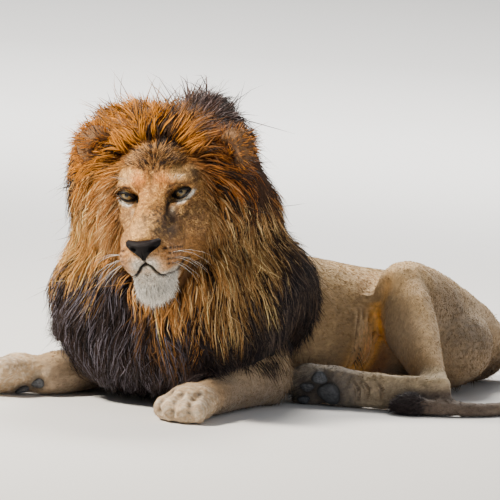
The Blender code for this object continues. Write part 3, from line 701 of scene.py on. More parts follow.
def face_colour(h, colour):
    """The face's markings in the head frame: pale brows and lips, dark rims, spots and a white chin."""
    m = mirrored(h)
    streak, fine, patch = waves(h * [1.0, 0.35, 0.20], 0.0060, 21), waves(h, 0.0045, 22), waves(h, 0.017, 23)
    left = ease(-0.02, 0.03, h[:, 0])  # the left cheek lies in its own shade and is greyer
    up = m[:, 2]
    brow_line = up - 0.020 * ease(0.008, 0.060, abs(h[:, 0] - 0.006))
    colour = layered(
        colour, ((0.60, 0.340, 0.118), 0.95 * ease(0.09, 0.05, m[:, 1])),
        ((0.13, 0.070, 0.030), 0.95 * ease(0.044, 0.076, brow_line) * ease(0.44, 0.60, streak)),
        ((0.80, 0.480, 0.180), 0.9 * ease(0.040, 0.065, up) * ease(0.42, 0.25, streak)),
        ((0.080, 0.045, 0.024), 0.95 * ease(0.076, 0.100, up) * ease(0.25, 0.50, streak)))
    for target, share, centre, radii, right in MARKS:
        broken = 0.75 + 0.5 * fine if share < 1 else 1.0
        one_sided = right + (1 - right) * left
        colour = layered(colour, (target, share * bell(m, centre, radii) * one_sided * broken))
    specks = ease(0.64, 0.76, waves(h * [1, 0.7, 1], 0.0090, 25))
    specks = specks * bell(h, (0.016, -0.085, -0.035), (0.026, 0.05, 0.030))
    scuffs = bell(h, (0.016, -0.105, -0.040), (0.024, 0.045, 0.024))
    scuffs = scuffs * ease(0.48, 0.62, patch * 0.5 + fine * 0.5)
    pad = bell(m, (0.046, -0.125, -0.106), (0.034, 0.055, 0.026))
    line_up = waves(h * [0.3, 0.3, 1.0], 0.0060, 24)
    colour = layered(
        colour, ((0.035, 0.024, 0.018), 1.4 * specks), ((0.10, 0.070, 0.050), scuffs),
        ((0.68, 0.370, 0.145), 1.25 * pad), ((0.80, 0.62, 0.44), 0.6 * pad * ease(0.55, 0.75, line_up)),
        (WHITE, 1.3 * bell(m, (0.011, -0.165, -0.121), (0.022, 0.05, 0.019))),
        (WHITE, 0.5 * bell(m, (0.036, -0.110, -0.140), (0.028, 0.05, 0.010))))
    for row, z in enumerate(WHISKER_ROWS):
        for step in range(7):
            y = -0.156 + 0.0135 * step + 0.005 * (row % 2)
            near = ((m[:, 1] - y) / 0.0050) ** 2 + ((m[:, 2] - z + 0.0016 * step) / 0.0030) ** 2
            colour = layered(colour, ((0.040, 0.020, 0.014), np.exp(-near ** 1.5) * (m[:, 0] > 0.026)))
    chin = ease(-0.132, -0.146, m[:, 2]) * ease(0.000, -0.050, m[:, 1]) * ease(0.066, 0.040, m[:, 0])
    colour = layered(colour, (WHITE, 1.1 * chin))
    for line, width, share, fade in ((MOUTH, 0.0046, 1.3, 0.15), (PHILTRUM, 0.0034, 1.2, 0.15),
                                     (TEAR, 0.0050, 1.3, 0.65)):
        gap, along = near_line(m, line)
        colour = layered(colour, (BLACK, share * (1 - fade * along) * on_line(gap, width)))
    gap, front = lid_gap(m), m[:, 1] < 0.04
    middle = np.interp(m[:, 0], [INNER[0], OUTER[0]], [INNER[1], OUTER[1]])
    under = on_line(gap - 0.0090, 0.0038) * ease(0.002, -0.004, up - middle)
    under = under * ease(0.045, 0.056, m[:, 0]) * ease(0.096, 0.086, m[:, 0])
    wing = near_line(m, [(0.0795, 0.010, 0.0185), (0.0880, 0.016, 0.0200)])[0]
    colour = layered(
        colour, ((0.12, 0.070, 0.036), 0.7 * ease(0.56, 0.78, patch) * ease(0.45, 0.75, fine)),
        ((0.90, 0.610, 0.270), 0.6 * ease(0.44, 0.22, patch) * ease(0.40, 0.70, fine) * (up > -0.08)),
        ((0.92, 0.86, 0.76), 1.2 * under * front), (BLACK, 1.1 * ease(0.0056, 0.0036, gap) * front),
        (BLACK, on_line(wing, 0.0028)))
    return colour * (0.66 + 0.50 * fine + 0.18 * patch)[:, None]


print("marks on the face", len(MARKS))

# %% [markdown]
# The body is tan, golder where it faces up as painted light and greyer where it faces down as painted
# shade, with rusty hair and painted bounced light in the fold before the knee and pale, dusty paws. The
# tail darkens to its black tuft, and every groove and fold holds a dark line of painted shade.

# %% The colours of the body
TAIL = [(-0.005, 0.570, 0.090), (0.030, 0.615, 0.062), (0.110, 0.620, 0.034), (0.250, 0.530, 0.022),
        (0.385, 0.385, 0.020), (0.480, 0.230, 0.019), (0.522, 0.080, 0.018), (0.512, -0.040, 0.019),
        (0.478, -0.116, 0.022), (0.456, -0.148, 0.028), (0.432, -0.178, 0.026), (0.415, -0.196, 0.022)]


def orange_fold_and_bounce_light(points):
    """The band of orange in the fold before the knee, rusty hair and painted warm bounced light: narrow at
    its top, wide near the floor.
    """
    x, y, z = points.T
    spread = ease(0.26, 0.06, z)
    fold = on_line(y - 0.018 + 0.032 * spread, 0.016 + 0.034 * spread) * ease(0.310, 0.270, z)
    return fold * ease(0.10, 0.13, x - 0.080 * ease(0.200, 0.235, z)) * ease(0.235, 0.205, x)


def body_colour(points, normals):
    """Tan, golder facing up (painted light) and greyer facing down (painted shade); rusty hair and painted
    bounced light in the fold before the knee; pale, dusty paws.
    """
    x, y, z = points.T
    up = normals[:, 2]
    soft, fine = waves(points, 0.16, 31), waves(points * [1, 0.5, 1], 0.018, 32)
    colour = layered(
        # greyer where the body faces down is painted shade; golder where it faces up, next line, is painted
        # light
        np.tile(TAN, (len(points), 1)), (GREY, 0.35 * soft * ease(0.3, -0.6, up)),
        (GOLD, 0.55 * ease(0.15, 0.85, up) * ease(0.10, 0.22, z)),
        # painted shade on the back of the thigh
        (GREY, 0.95 * bell(points, (0.30, 0.24, 0.17), (0.16, 0.17, 0.10)) * (0.6 + 0.4 * fine)),
        # painted shade low on the belly, near the floor
        ((0.20, 0.130, 0.070), 0.8 * ease(0.11, 0.05, z) * ease(-0.30, -0.10, y) * ease(0.24, 0.20, x)),
        ((0.50, 0.37, 0.245), 0.7 * bell(points, (0.30, -0.03, 0.15), (0.10, 0.07, 0.08))),
        ((0.62, 0.430, 0.230), 0.7 * bell(points, (0.215, -0.005, 0.300), (0.07, 0.08, 0.05))),
        # rusty hair and painted warm light bounced into the fold
        ((1.00, 0.520, 0.105), 1.25 * orange_fold_and_bounce_light(points)),
        # painted shade deep in the fold between belly and leg
        ((0.24, 0.095, 0.026), 0.9 * bell(points, (0.165, 0.055, 0.06), (0.06, 0.05, 0.07))),
        ((0.33, 0.265, 0.215), 0.55 * ease(0.16, 0.04, z) * (y < -0.28)))
    dust = ease(0.55, 0.75, waves(points, 0.012, 33))
    for name in ("forepaw_left", "forepaw_right"):
        p = into(PAWS[name][0], points)
        on_paw = ease(0.10, 0.0, p[:, 1]) * (abs(p[:, 0]) < 0.10)
        on_paw = on_paw * (abs(p[:, 2] - 0.03) < 0.10) * (p[:, 1] > -0.2)
        colour = layered(colour, ((0.60, 0.430, 0.265), 0.85 * on_paw),
                         ((0.80, 0.70, 0.55), 0.5 * on_paw * dust),
                         ((0.60, 0.385, 0.190), 0.8 * bell(p, (0.030, 0.070, 0.080), 0.05)))
    gap, along = near_line(points, [(0.46, -0.07, 0.05), (0.33, -0.18, 0.05), (0.24, -0.27, 0.05)])
    foot = ease(0.075, 0.050, gap)
    tail_gap, down_tail = near_line(points, TAIL)
    on_tail = ease(0.05, 0.03, tail_gap)
    black_end = ease(0.036, 0.030, tail_gap) * ease(0.912, 0.945, down_tail + 0.03 * (fine - 0.5))
    groove, crown = toe_grooves(points)
    colour = layered(
        # the hind foot is greyer; lighter where it faces up, as painted light
        colour, ((0.42, 0.335, 0.235), 0.8 * foot), ((0.66, 0.500, 0.290), 0.6 * foot * ease(0.2, 0.8, up)),
        ((0.17, 0.145, 0.130), 0.8 * foot * ease(0.50, 0.72, along) * (0.6 + 0.4 * fine)),
        ((0.24, 0.180, 0.130), 0.8 * on_tail * ease(0.05, 0.3, down_tail)),
        ((0.115, 0.085, 0.068), 0.8 * on_tail * ease(0.55, 0.85, down_tail)),
        ((0.040, 0.028, 0.028), black_end),
        # dark toe grooves: painted shade between the toes
        ((0.060, 0.042, 0.032), 0.95 * groove), (WHITE, 0.20 * crown))
    for _, middle, half in PADS:
        colour = layered(colour, ((0.045, 0.040, 0.040), 1.2 * bell(points, middle, 1.15 * half[0])))
    # each fold gets a painted highlight along its ridge and painted shade in its dip
    for top, bottom, width in FOLD_LINES:
        near, along = near_line(points, top)
        fade = np.sin(pi * np.clip(along, 0.02, 0.98)) ** 0.5
        ridge = on_line(near - 2.0 * width, 0.8 * width) * fade
        dip = on_line(near_line(points, bottom)[0], 1.15 * width)
        colour = layered(colour, ((0.86, 0.62, 0.38), (0.55 if width > 0.004 else 0.08) * ridge),
                         ((0.045, 0.022, 0.012), 0.95 * fade * dip))
    # painted shade on the chest and shoulders under the mane
    colour = layered(colour, (SHADE_UNDER_MANE, 0.7 * ease(-0.22, -0.36, y) * ease(0.10, 0.16, z)))
    return colour * (0.82 + 0.30 * soft[:, None] * [0.9, 1, 1.1] + 0.10 * (fine[:, None] - 0.5))


def coat_colour(points, normals):
    """One colour for skin and fur at each place."""
    colour = body_colour(points, normals)
    h = into(HEAD, points)
    face = ease(0.10, 0.06, h[:, 1]) * (abs(h[:, 0]) < 0.16) * (h[:, 2] > -0.25) * (h[:, 2] < 0.2)
    marked = face_colour(h, colour)
    return mix(np.clip(colour, 0, 1) ** 1.18, np.clip(marked, 0, 1) ** 1.42, face)


paint(skin, "coat_colour", coat_colour(P, N))
print("coat colours", np.round(coat_colour(P[::5000], N[::5000])[:3], 2).tolist())

# %% [markdown]
# The skin's material multiplies the painted colour by a fine stretched noise, and the same noise is its
# bump, which reads as short hair lying back along the body. Every other finish is made the same way.


# %% The skin's material
def node(tree, kind, *links, **settings):
    """A node with settings for its properties or sockets, and (output, socket) links into it."""
    made = tree.nodes.new(kind)
    for key, value in settings.items():
        if hasattr(made, key):
            setattr(made, key, value)
        else:
            made.inputs[key].default_value = value
    for output, socket in links:
        tree.links.new(output, made.inputs[socket])
    return made


def bumped(tree, main, height, strength, distance):
    """A bump from a height, into the shader's normal."""
    rise = node(tree, "ShaderNodeBump", (height, "Height"), Strength=strength, Distance=distance)
    tree.links.new(rise.outputs[0], main.inputs["Normal"])


def place_on(tree):
    """Object coordinates."""
    return node(tree, "ShaderNodeTexCoord").outputs["Object"]


def painted_grain(tree, main, attribute, noise, **spread):
    """The painted colour times the noise, which is first spread to a range, into the shader's colour."""
    grain = node(tree, "ShaderNodeMapRange", (noise.outputs["Fac"], "Value"), **spread)
    painted = node(tree, "ShaderNodeAttribute", attribute_name=attribute).outputs["Color"]
    times = node(tree, "ShaderNodeVectorMath", (painted, 0), (grain.outputs[0], 1), operation="MULTIPLY")
    tree.links.new(times.outputs[0], main.inputs["Base Color"])


def hair_material(name, attribute, grain, stretch, bump, low=0.7, high=1.25, **sockets):
    """Painted colour times stretched noise, with the same noise as bump: short hair lying one way."""
    material, tree, main = shader(name, **sockets)
    turn = node(tree, "ShaderNodeMapping", (place_on(tree), "Vector"), Scale=stretch)
    noise = node(tree, "ShaderNodeTexNoise", (turn.outputs[0], "Vector"), Scale=grain, Detail=3.0,
                 Roughness=0.65)
    painted_grain(tree, main, attribute, noise,
                  **{"From Min": 0.3, "From Max": 0.7, "To Min": low, "To Max": high})
    bumped(tree, main, noise.outputs["Fac"], bump, 0.003)
    return material


skin_fur = hair_material("short_coat", "coat_colour", 190.0, (1.0, 0.25, 0.6), 0.45,
                         Roughness=0.72, Specular_IOR_Level=0.25, Sheen_Weight=0.15, Sheen_Roughness=0.5)
face_fur = hair_material("face_coat", "coat_colour", 330.0, (1.0, 0.5, 0.35), 0.8,
                         Roughness=0.66, Specular_IOR_Level=0.3, Sheen_Weight=0.1, Sheen_Roughness=0.5)
skin.data.materials.append(skin_fur)
skin.data.materials.append(face_fur)
corner_face = np.empty(len(skin.data.polygons), int)
skin.data.polygons.foreach_get("loop_start", corner_face)
corner_point = np.empty(len(skin.data.loops), int)
skin.data.loops.foreach_get("vertex_index", corner_point)
skin.data.polygons.foreach_set("material_index", face_zone(P)[corner_point[corner_face]].astype(int))
print("skin materials", [m.name for m in skin.data.materials])

# %% [markdown]
# A big cat's eye is amber with a small round pupil. The ball is a polar grid about the line of sight,
# so rings of colour fall on rings of points. A sphere from the menu would have its pole on top.


# %% Eyes
def grid_triangles(rows, columns, closed_rows=False, closed_columns=False):
    """Two triangles for each cell of a grid of points, wrapping where it is closed."""
    r, c = np.meshgrid(np.arange(rows - (not closed_rows)), np.arange(columns - (not closed_columns)),
                       indexing="ij")
    r, c = r.ravel(), c.ravel()
    a, b = r * columns + c, r * columns + (c + 1) % columns
    d, e = (r + 1) % rows * columns + c, (r + 1) % rows * columns + (c + 1) % columns
    return np.concatenate([np.column_stack([a, b, e]), np.column_stack([a, e, d])])


def outward(points, triangles):
    """The triangles turned, if need be, so that the closed shape they bound has a positive volume."""
    a, b, c = (points[triangles[:, k]] for k in range(3))
    return triangles if (a * np.cross(b, c)).sum() > 0 else triangles[:, ::-1]


def painted_material(name, attribute, **sockets):
    """A painted attribute as the shader's colour, with small noise in its strength."""
    material, tree, main = shader(name, **sockets)
    noise = node(tree, "ShaderNodeTexNoise", (place_on(tree), "Vector"), Scale=420.0, Detail=2.0)
    painted_grain(tree, main, attribute, noise, **{"To Min": 0.8, "To Max": 1.2})
    return material, tree, main, noise


EYE_GRID = 44, 64  # rings out from the pupil, points round each


def eyeball(side):
    """Rings about the line of sight: angle from it down the rows, angle round it along the columns."""
    sight = unit(np.array([side * 0.02 + 0.05, -1.0, 0.09]))
    across = unit(np.cross(sight, [0, 0, 1.0]))
    up = np.cross(across, sight)
    angle = np.concatenate([np.linspace(0.001, 0.75, 34), np.linspace(0.80, pi - 0.001, 10)])[:, None]
    round_ = np.linspace(0, 2 * pi, EYE_GRID[1], endpoint=False)[None, :]
    swell = 1 + 0.055 * ease(0.66, 0.30, angle)
    ring = np.sin(angle)[..., None] * (np.cos(round_)[..., None] * across + np.sin(round_)[..., None] * up)
    points = (EYE * [side, 1, 1]) + EYE_RADIUS * swell[..., None] * (ring + np.cos(angle)[..., None] * sight)
    share = angle / 0.68
    spokes = np.stack(np.broadcast_arrays(np.cos(round_), np.sin(round_), 0.15 * share), -1)
    rays = waves(spokes.reshape(-1, 3), 0.16, 51).reshape(EYE_GRID)
    colour = np.tile(np.array([0.17, 0.112, 0.040]), (*EYE_GRID, 1)) * (0.55 + 0.80 * rays)[..., None]
    colour = layered(colour, ((0.060, 0.035, 0.014), ease(0.70, 1.0, share) * 0.8),
                     ((0.19, 0.150, 0.060), ease(0.62, 0.42, share) * 0.5),
                     ((0.002, 0.002, 0.002), ease(0.36, 0.31, share)),
                     ((0.020, 0.012, 0.008), ease(1.06, 1.16, share)))
    return out_of(HEAD, points.reshape(-1, 3)), colour.reshape(-1, 3)


eye_paint, _, _, _ = painted_material("wet_eye", "eye_colour", Roughness=0.12, Specular_IOR_Level=0.5,
                                      Coat_Weight=0.15, Coat_Roughness=0.05)
eyes = []
for side, name in ((1, "eye_left"), (-1, "eye_right")):
    points, colour = eyeball(side)
    triangles = outward(points - points.mean(0), grid_triangles(*EYE_GRID, closed_columns=True))
    eye = new_piece("eyeball_" + name[4:], points, triangles, eye_paint)
    paint(eye, "eye_colour", colour)
    bm = bmesh.new()
    bm.from_mesh(eye.data)
    bmesh.ops.holes_fill(bm, edges=[e for e in bm.edges if e.is_boundary])
    bm.to_mesh(eye.data)
    bm.free()
    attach(eye, "root")
    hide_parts(name)
    eyes.append(eye)
print("eyes", [len(eye.data.vertices) for eye in eyes], "points")

# %% [markdown]
# A black, slightly wet rim follows the lids. It is a thin flattened tube along the almond, laid on the
# ball, and thicker above and at the inner corner.


# %% The lids' black rims
def ring_tube(path, width, columns, flat):
    """A closed path's tube: at each point a small ellipse square to the way, as wide as given."""
    way = unit(np.roll(path, -1, 0) - np.roll(path, 1, 0))
    aside = unit(np.cross(way, [0.0, -1.0, 0.05]))
    over = np.cross(aside, way)
    turn = np.linspace(0, 2 * pi, columns, endpoint=False)[None, :, None]
    ring = np.cos(turn) * aside[:, None] + flat * np.sin(turn) * over[:, None]
    points = (path[:, None] + width[:, None, None] * ring).reshape(-1, 3)
    return points, outward(points - points.mean(0), grid_triangles(len(path), columns, True, True))


rim_leather, rim_tree, rim_main = shader("black_rim", Base_Color=(0.006, 0.005, 0.005, 1), Roughness=0.45,
                                         Specular_IOR_Level=0.22)
grit = node(rim_tree, "ShaderNodeTexNoise", (place_on(rim_tree), "Vector"), Scale=900.0, Detail=2.0)
bumped(rim_tree, rim_main, grit.outputs["Fac"], 0.4, 0.0005)
loop = ALMOND.copy()
loop[:, 1] = ball_front(loop) - 0.0012
upper = np.arange(len(loop)) < LID_POINTS
thick = np.where(upper, 0.0029, 0.0020) + 0.0016 * on_line(loop[:, 0] - INNER[0], 0.007)
points, triangles = joined([ring_tube(loop * [side, 1, 1], thick, 8, 0.75) for side in (1, -1)])
rims = new_piece("eyelid_rims", out_of(HEAD, points), triangles, rim_leather)
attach(rims, "root")
print("rims", len(rims.data.vertices), "points")

# %% [markdown]
# The nose leather is a broad dark triangle with a nostril at each side. It is one curved plate: its
# half width is read from a profile down the nose, its front bends back to the sides, and two comma
# shaped pits are pressed in. A copy set back inside the head closes it.


# %% The nose leather
def nose_plate():
    """Front of the nose: row t runs down, column s across. Width, depth and pits are functions of both."""
    t, s = np.meshgrid(np.linspace(0, 1, 46), np.linspace(-1, 1, 61), indexing="ij")
    x = s * np.interp(t, [0, 0.10, 0.30, 0.45, 0.60, 0.78, 0.90, 1],
                      [0.0345, 0.0395, 0.0385, 0.0310, 0.0195, 0.0095, 0.0050, 0.0036])
    z = -0.0650 - 0.0430 * t + 0.0028 * s ** 2 * (1 - t)
    y = np.interp(t, [0, 0.10, 0.25, 0.6, 1], [-0.1735, -0.1812, -0.1840, -0.1830, -0.1775])
    y = y + 0.0175 * (abs(x) / 0.0385) ** 2.2  # the sides bend back
    side = abs(s)
    pit = np.exp(-(((side - 0.60) / 0.21) ** 2 + ((t - 0.40 - 0.16 * (side - 0.60)) / 0.125) ** 2) ** 1.5)
    slit = on_line(side - 0.86, 0.12) * on_line(t - 0.30 - 0.5 * (side - 0.86), 0.075)
    y = y + 0.0080 * pit + 0.0045 * slit
    y = y - 0.0022 * on_line(side - 0.62, 0.36) * on_line(t - 0.24, 0.12)
    y = y - 0.0018 * on_line(s, 0.30) * on_line(t - 0.55, 0.2)
    y = y + 0.0026 * on_line(s, 0.10) * ease(0.35, 0.75, t)
    y = y + 0.0035 * np.maximum(side, abs(2 * t - 1)) ** 14
    colour = mix(np.tile(np.array([0.004, 0.003, 0.003]), t.shape + (1,)), (0.012, 0.008, 0.008),
                 0.8 * ease(0.35, 0.05, t) + 0.3 * on_line(s, 0.25))
    # pits and slits darker still: painted shade inside the nostrils
    colour = layered(colour, ((0.002, 0.001, 0.001), pit * 1.3 + slit))
    return np.stack([x, y, z], -1), colour


def closed_plate(front, back):
    """Two grids of the same size joined round their edge."""
    rows, columns = front.shape[:2]
    points = np.concatenate([front.reshape(-1, 3), back.reshape(-1, 3)])
    face, size = grid_triangles(rows, columns), rows * columns
    index = np.arange(size).reshape(rows, columns)
    rim = np.concatenate([index[0], index[1:, -1], index[-1, -2::-1], index[-2:0:-1, 0]])
    after = np.roll(rim, -1)
    wall = np.concatenate([np.column_stack([rim, rim + size, after]),
                           np.column_stack([after, rim + size, after + size])])
    return points, np.concatenate([face, face[:, ::-1] + size, wall])


front, colour = nose_plate()
back = front * [0.92, 0.2, 0.96] - [0, 0.120, 0.0035]
points, triangles = closed_plate(front, back)
triangles = outward(points - points.mean(0), triangles)
nose_leather, nose_tree, nose_main, _ = painted_material(
    "nose_leather", "nose_colour", Roughness=0.60, Specular_IOR_Level=0.14)
cells = node(nose_tree, "ShaderNodeTexVoronoi", (place_on(nose_tree), "Vector"), Scale=700.0)
bumped(nose_tree, nose_main, cells.outputs["Distance"], 0.5, 0.0006)
nose = new_piece("nose_leather", out_of(HEAD, points), triangles, nose_leather)
paint(nose, "nose_colour", np.concatenate([colour.reshape(-1, 3)] * 2))
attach(nose, "root")
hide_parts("nose")
print("nose", len(nose.data.polygons), "faces")

# %% [markdown]
# The coat's pieces are baked later, so every tuft carries a small patch of a map called OFBake. The
# patch sits where the tuft's root falls on an unwrap of the skin itself, which is made here once.

# %% The skin's own unwrap
bpy.context.view_layer.objects.active = skin
skin.select_set(True)
skin.data.uv_layers.new(name="OFBake")
bpy.ops.object.mode_set(mode="EDIT")
bpy.ops.mesh.select_all(action="SELECT")
bpy.ops.uv.smart_project(angle_limit=radians(66), island_margin=0.001)
bpy.ops.object.mode_set(mode="OBJECT")
skin_uv = np.empty(len(skin.data.loops) * 2)
skin.data.uv_layers["OFBake"].data.foreach_get("uv", skin_uv)
skin.data.calc_loop_triangles()
triangle_loops = np.empty(len(skin.data.loop_triangles) * 3, int)
skin.data.loop_triangles.foreach_get("loops", triangle_loops)
TRIANGLE_UV = skin_uv.reshape(-1, 2)[triangle_loops].reshape(-1, 3, 2).mean(1)


def unwrap_at(points):
    """The places on the skin's unwrap that are nearest to some points."""
    return TRIANGLE_UV[nearest(SKIN_TREE, points, TRIANGLE)]


print("unwrap", np.round(skin_uv.min(), 3), np.round(skin_uv.max(), 3))

# %% [markdown]
# The mane hangs where the frame's mane solids stand out from the skin. Hair runs away from a parting
# over the brow, outward round the face and then down with its own weight. That is a direction for
# every place, so a lock is a path: it starts on the mane's surface and steps along that direction.


# %% Which way the hair runs
FACE = np.array(HEAD @ Vector((0, 0.02, -0.03)))
PARTING = np.array(HEAD @ Vector((0.006, 0.050, 0.100)))
HEAD_AXES = np.array(HEAD.to_3x3())
FORWARD = -HEAD_AXES[:, 1]
DOWN = np.array([0, 0, -1.0])


def mane_flow(p, n):
    """Away from the parting above the face, from the face's axis beside it, down below; lying flat."""
    from_face = p - FACE
    radial = unit(from_face - (from_face @ FORWARD)[:, None] * FORWARD)
    away = unit(p - PARTING)
    high = ease(-0.02, 0.14, from_face[:, 2])[:, None]
    far = ease(0.10, 0.34, np.linalg.norm(from_face, axis=1))[:, None]
    behind = ease(0.05, 0.30, -(from_face @ FORWARD))[:, None]
    way = high * (0.75 * away + 0.45 * radial) + (1 - high) * (0.42 * radial + (0.75 + 0.3 * far) * DOWN)
    way = way + high * (far * 0.25 + behind * 0.45) * DOWN - 0.30 * behind * FORWARD
    w = into(MANE, p)
    way = way + (0.55 * ease(-0.19, -0.10, w[:, 0]) * high[:, 0] * ease(0.62, 0.5, w[:, 2]))[:, None] * DOWN
    return laid_flat(unit(way) + 0.50 * (drift(p, 0.13, 60) + 0.7 * drift(p, 0.045, 70)), n)


def hem(w):
    """The height at which the mane's hair ends over the forelegs, from mane-frame places."""
    low = np.interp(w[:, 0], [-0.45, -0.40, -0.36, -0.33, -0.29, -0.26, -0.17, -0.14, -0.09, 0.0, 0.09, 0.13],
                    [0.150, 0.130, 0.105, 0.070, 0.030, 0.003, 0.003, 0.030, 0.085, 0.112, 0.160, 0.240])
    return np.where(w[:, 1] < 0.03, low, 0.02)


ENVELOPE_SOFT = ENVELOPE_NORMALS[ENVELOPE_TRIANGLES].mean(1)


def on_envelope(p):
    """The nearest places on the envelope and its soft normals there."""
    found = [ENVELOPE_TREE.find_nearest(q) for q in p.tolist()]
    return np.array([f[PLACE] for f in found]), unit(ENVELOPE_SOFT[[f[TRIANGLE] for f in found]])


def scatter(points, triangles, count, rng, weight=1.0):
    """Random places spread evenly by area (times a weight), with their triangle numbers."""
    a, b, c = (points[triangles[:, k]] for k in range(3))
    area = np.linalg.norm(np.cross(b - a, c - a), axis=1) * weight
    pick = np.searchsorted(np.cumsum(area) / area.sum(), rng.random(count))
    r1, r2 = np.sqrt(rng.random(count)), rng.random(count)
    place = ((1 - r1)[:, None] * a[pick] + (r1 * (1 - r2))[:, None] * b[pick] + (r1 * r2)[:, None] * c[pick])
    return place, pick


centres = ENVELOPE_POINTS[ENVELOPE_TRIANGLES].mean(1)
mane_centres = into(MANE, centres)
DEPTH = nearest(SKIN_TREE, centres, DISTANCE)  # from the skin to the mane's outside
mane_weight = ease(0.012, 0.030, DEPTH) * ease(-0.9, -0.3, ENVELOPE_SOFT[:, 2])
mane_weight *= (centres[:, 1] <= -0.05) & (centres[:, 2] >= 0.004)
mane_weight *= centres[:, 2] > hem(mane_centres) - 0.005
mane_weight *= 0.55 + 0.45 * ease(-0.4, 0.3, ENVELOPE_SOFT @ level_back)
print("mane covers", round(float(mane_weight.sum() / len(mane_weight)), 2), "of the envelope")

# %% [markdown]
# The mane's colours: tan-gold beside the cheeks, bright orange on the crown's right half, dark brown
# on the crest, streaks of both on the left, and near black from the chest down. Painted light brightens
# the outer left, painted highlights mark single locks, and painted shade lies at the parting and along
# the face's hairline. A lock is one colour that darkens to its root as painted shade, and whole clumps
# differ, as hair does where it sticks together.


# %% The colours of the mane
def mane_colour(p, luck, streak):
    """Colour at the middle of each lock, from its place, its clump's luck and its own streak (0 to 1)."""
    here = into(MANE, p)
    u, w, z = here.T
    wander, curl = waves(p, 0.12, 81) - 0.5, waves(p, 0.045, 82) - 0.5
    crest = ease(0.605, 0.655, z + 0.06 * wander + 0.04 * curl) * ease(-0.220, -0.175, u + 0.05 * curl)
    crest = np.maximum(crest, ease(-0.10, 0.04, w) * ease(0.40, 0.52, z))
    dark = 0.16 + 0.22 * ease(-0.18, -0.02, u) + 0.42 * ease(0.02, 0.08, u) * ease(0.20, 0.40, z + 0.1)
    # the parting's bell here and the three bells below are painted shade round the top and sides of the face
    dark += 0.50 * bell(p, PARTING, (0.040, 0.050, 0.06)) + 0.25 * ease(0.55, 0.65, z) * ease(-0.16, -0.05, u)
    for share, centre, radii in ((0.85, (-0.200, -0.25, 0.585), (0.020, 0.10, 0.065)),
                                 (0.60, (0.000, -0.15, 0.540), (0.040, 0.20, 0.080)),
                                 (0.45, (-0.300, -0.20, 0.455), (0.016, 0.30, 0.060))):
        dark += share * bell(here, centre, radii)
    dark += 0.60 * ease(-0.385, -0.420, u) * ease(0.34, 0.46, z)
    edge = np.interp(u, [-0.45, -0.40, -0.34, -0.28, -0.20, -0.14, -0.06, 0.0, 0.04, 0.10],
                     [0.285, 0.300, 0.290, 0.262, 0.236, 0.212, 0.215, 0.245, 0.290, 0.400])
    black = ease(0.016, -0.016, z - edge - 0.05 * wander - 0.03 * curl + 0.04 * (luck - 0.5))
    rear = 0.85 * ease(0.08, 0.14, u) * ease(0.50, 0.40, z) * (w < 0.05)
    black = np.maximum(black, rear)
    golden = bell(here, (-0.175, -0.30, 0.200), (0.050, 0.20, 0.070)) * (streak < 0.34)
    # shine: painted highlights on single strands of the black hair
    shine = 0.75 * (black > 0.5) * (streak > 0.74)
    colour = layered(
        np.tile((0.50, 0.225, 0.058), (len(p), 1)),
        ((0.62, 0.228, 0.012), ease(0.44, 0.54, z) * ease(-0.05, -0.22, u)),
        ((0.36, 0.115, 0.018), ease(0.42, 0.52, z) * ease(-0.18, -0.06, u)),
        # brighter gold on the outer left: gold hair lifted by painted light on the lit side
        ((0.76, 0.390, 0.105), 0.90 * ease(-0.26, -0.36, u) * ease(0.50, 0.38, z)),
        # the deep orange-brown band beside the face is painted shade
        ((0.40, 0.150, 0.035), 0.85 * bell(here, (-0.315, -0.20, 0.440), (0.035, 0.30, 0.110))),
        ((0.36, 0.205, 0.075), 0.9 * ease(-0.12, 0.00, u) * ease(0.50, 0.40, z)),
        # pale streaks on single locks are painted highlights
        ((0.88, 0.600, 0.280), 0.7 * (streak > 0.82) * ease(0.56, 0.46, z)),
        ((0.30, 0.180, 0.090), ease(-0.08, 0.10, w)), ((0.070, 0.040, 0.036), 0.95 * crest),
        ((0.30, 0.205, 0.185), 0.8 * crest * (streak > 0.66)),
        ((0.050, 0.027, 0.017), 0.95 * ease(dark + 0.05, dark - 0.05, 0.6 * streak + 0.4 * luck)),
        ((0.016, 0.013, 0.017), black * (0.97 - 0.75 * golden)),
        # the shine's painted highlights, lavender-grey on the left, brown on the right
        ((0.17, 0.150, 0.180), shine * ease(-0.06, -0.18, u)),
        ((0.145, 0.105, 0.080), shine * ease(-0.12, 0.02, u)),
        ((0.085, 0.055, 0.036), 0.6 * rear * (streak > 0.35)))
    return np.clip(colour * (0.52 + 0.70 * luck + 0.60 * (streak - 0.5))[:, None], 0, 1)


print("mane at its middle", np.round(mane_colour(FACE[None], np.array([0.5]), np.array([0.5])), 2))

# %% [markdown]
# A lock's path steps along the hair's direction and stays on the mane's surface. Locks near each other
# belong to one clump and lean towards one of its paths near their tips, as hair that sticks together.

# %% Paths of locks
LOCK_T = np.array([0, 0.13, 0.40, 0.72, 1.0])
LOCK_WIDTH = np.array([0.85, 1.0, 0.62])


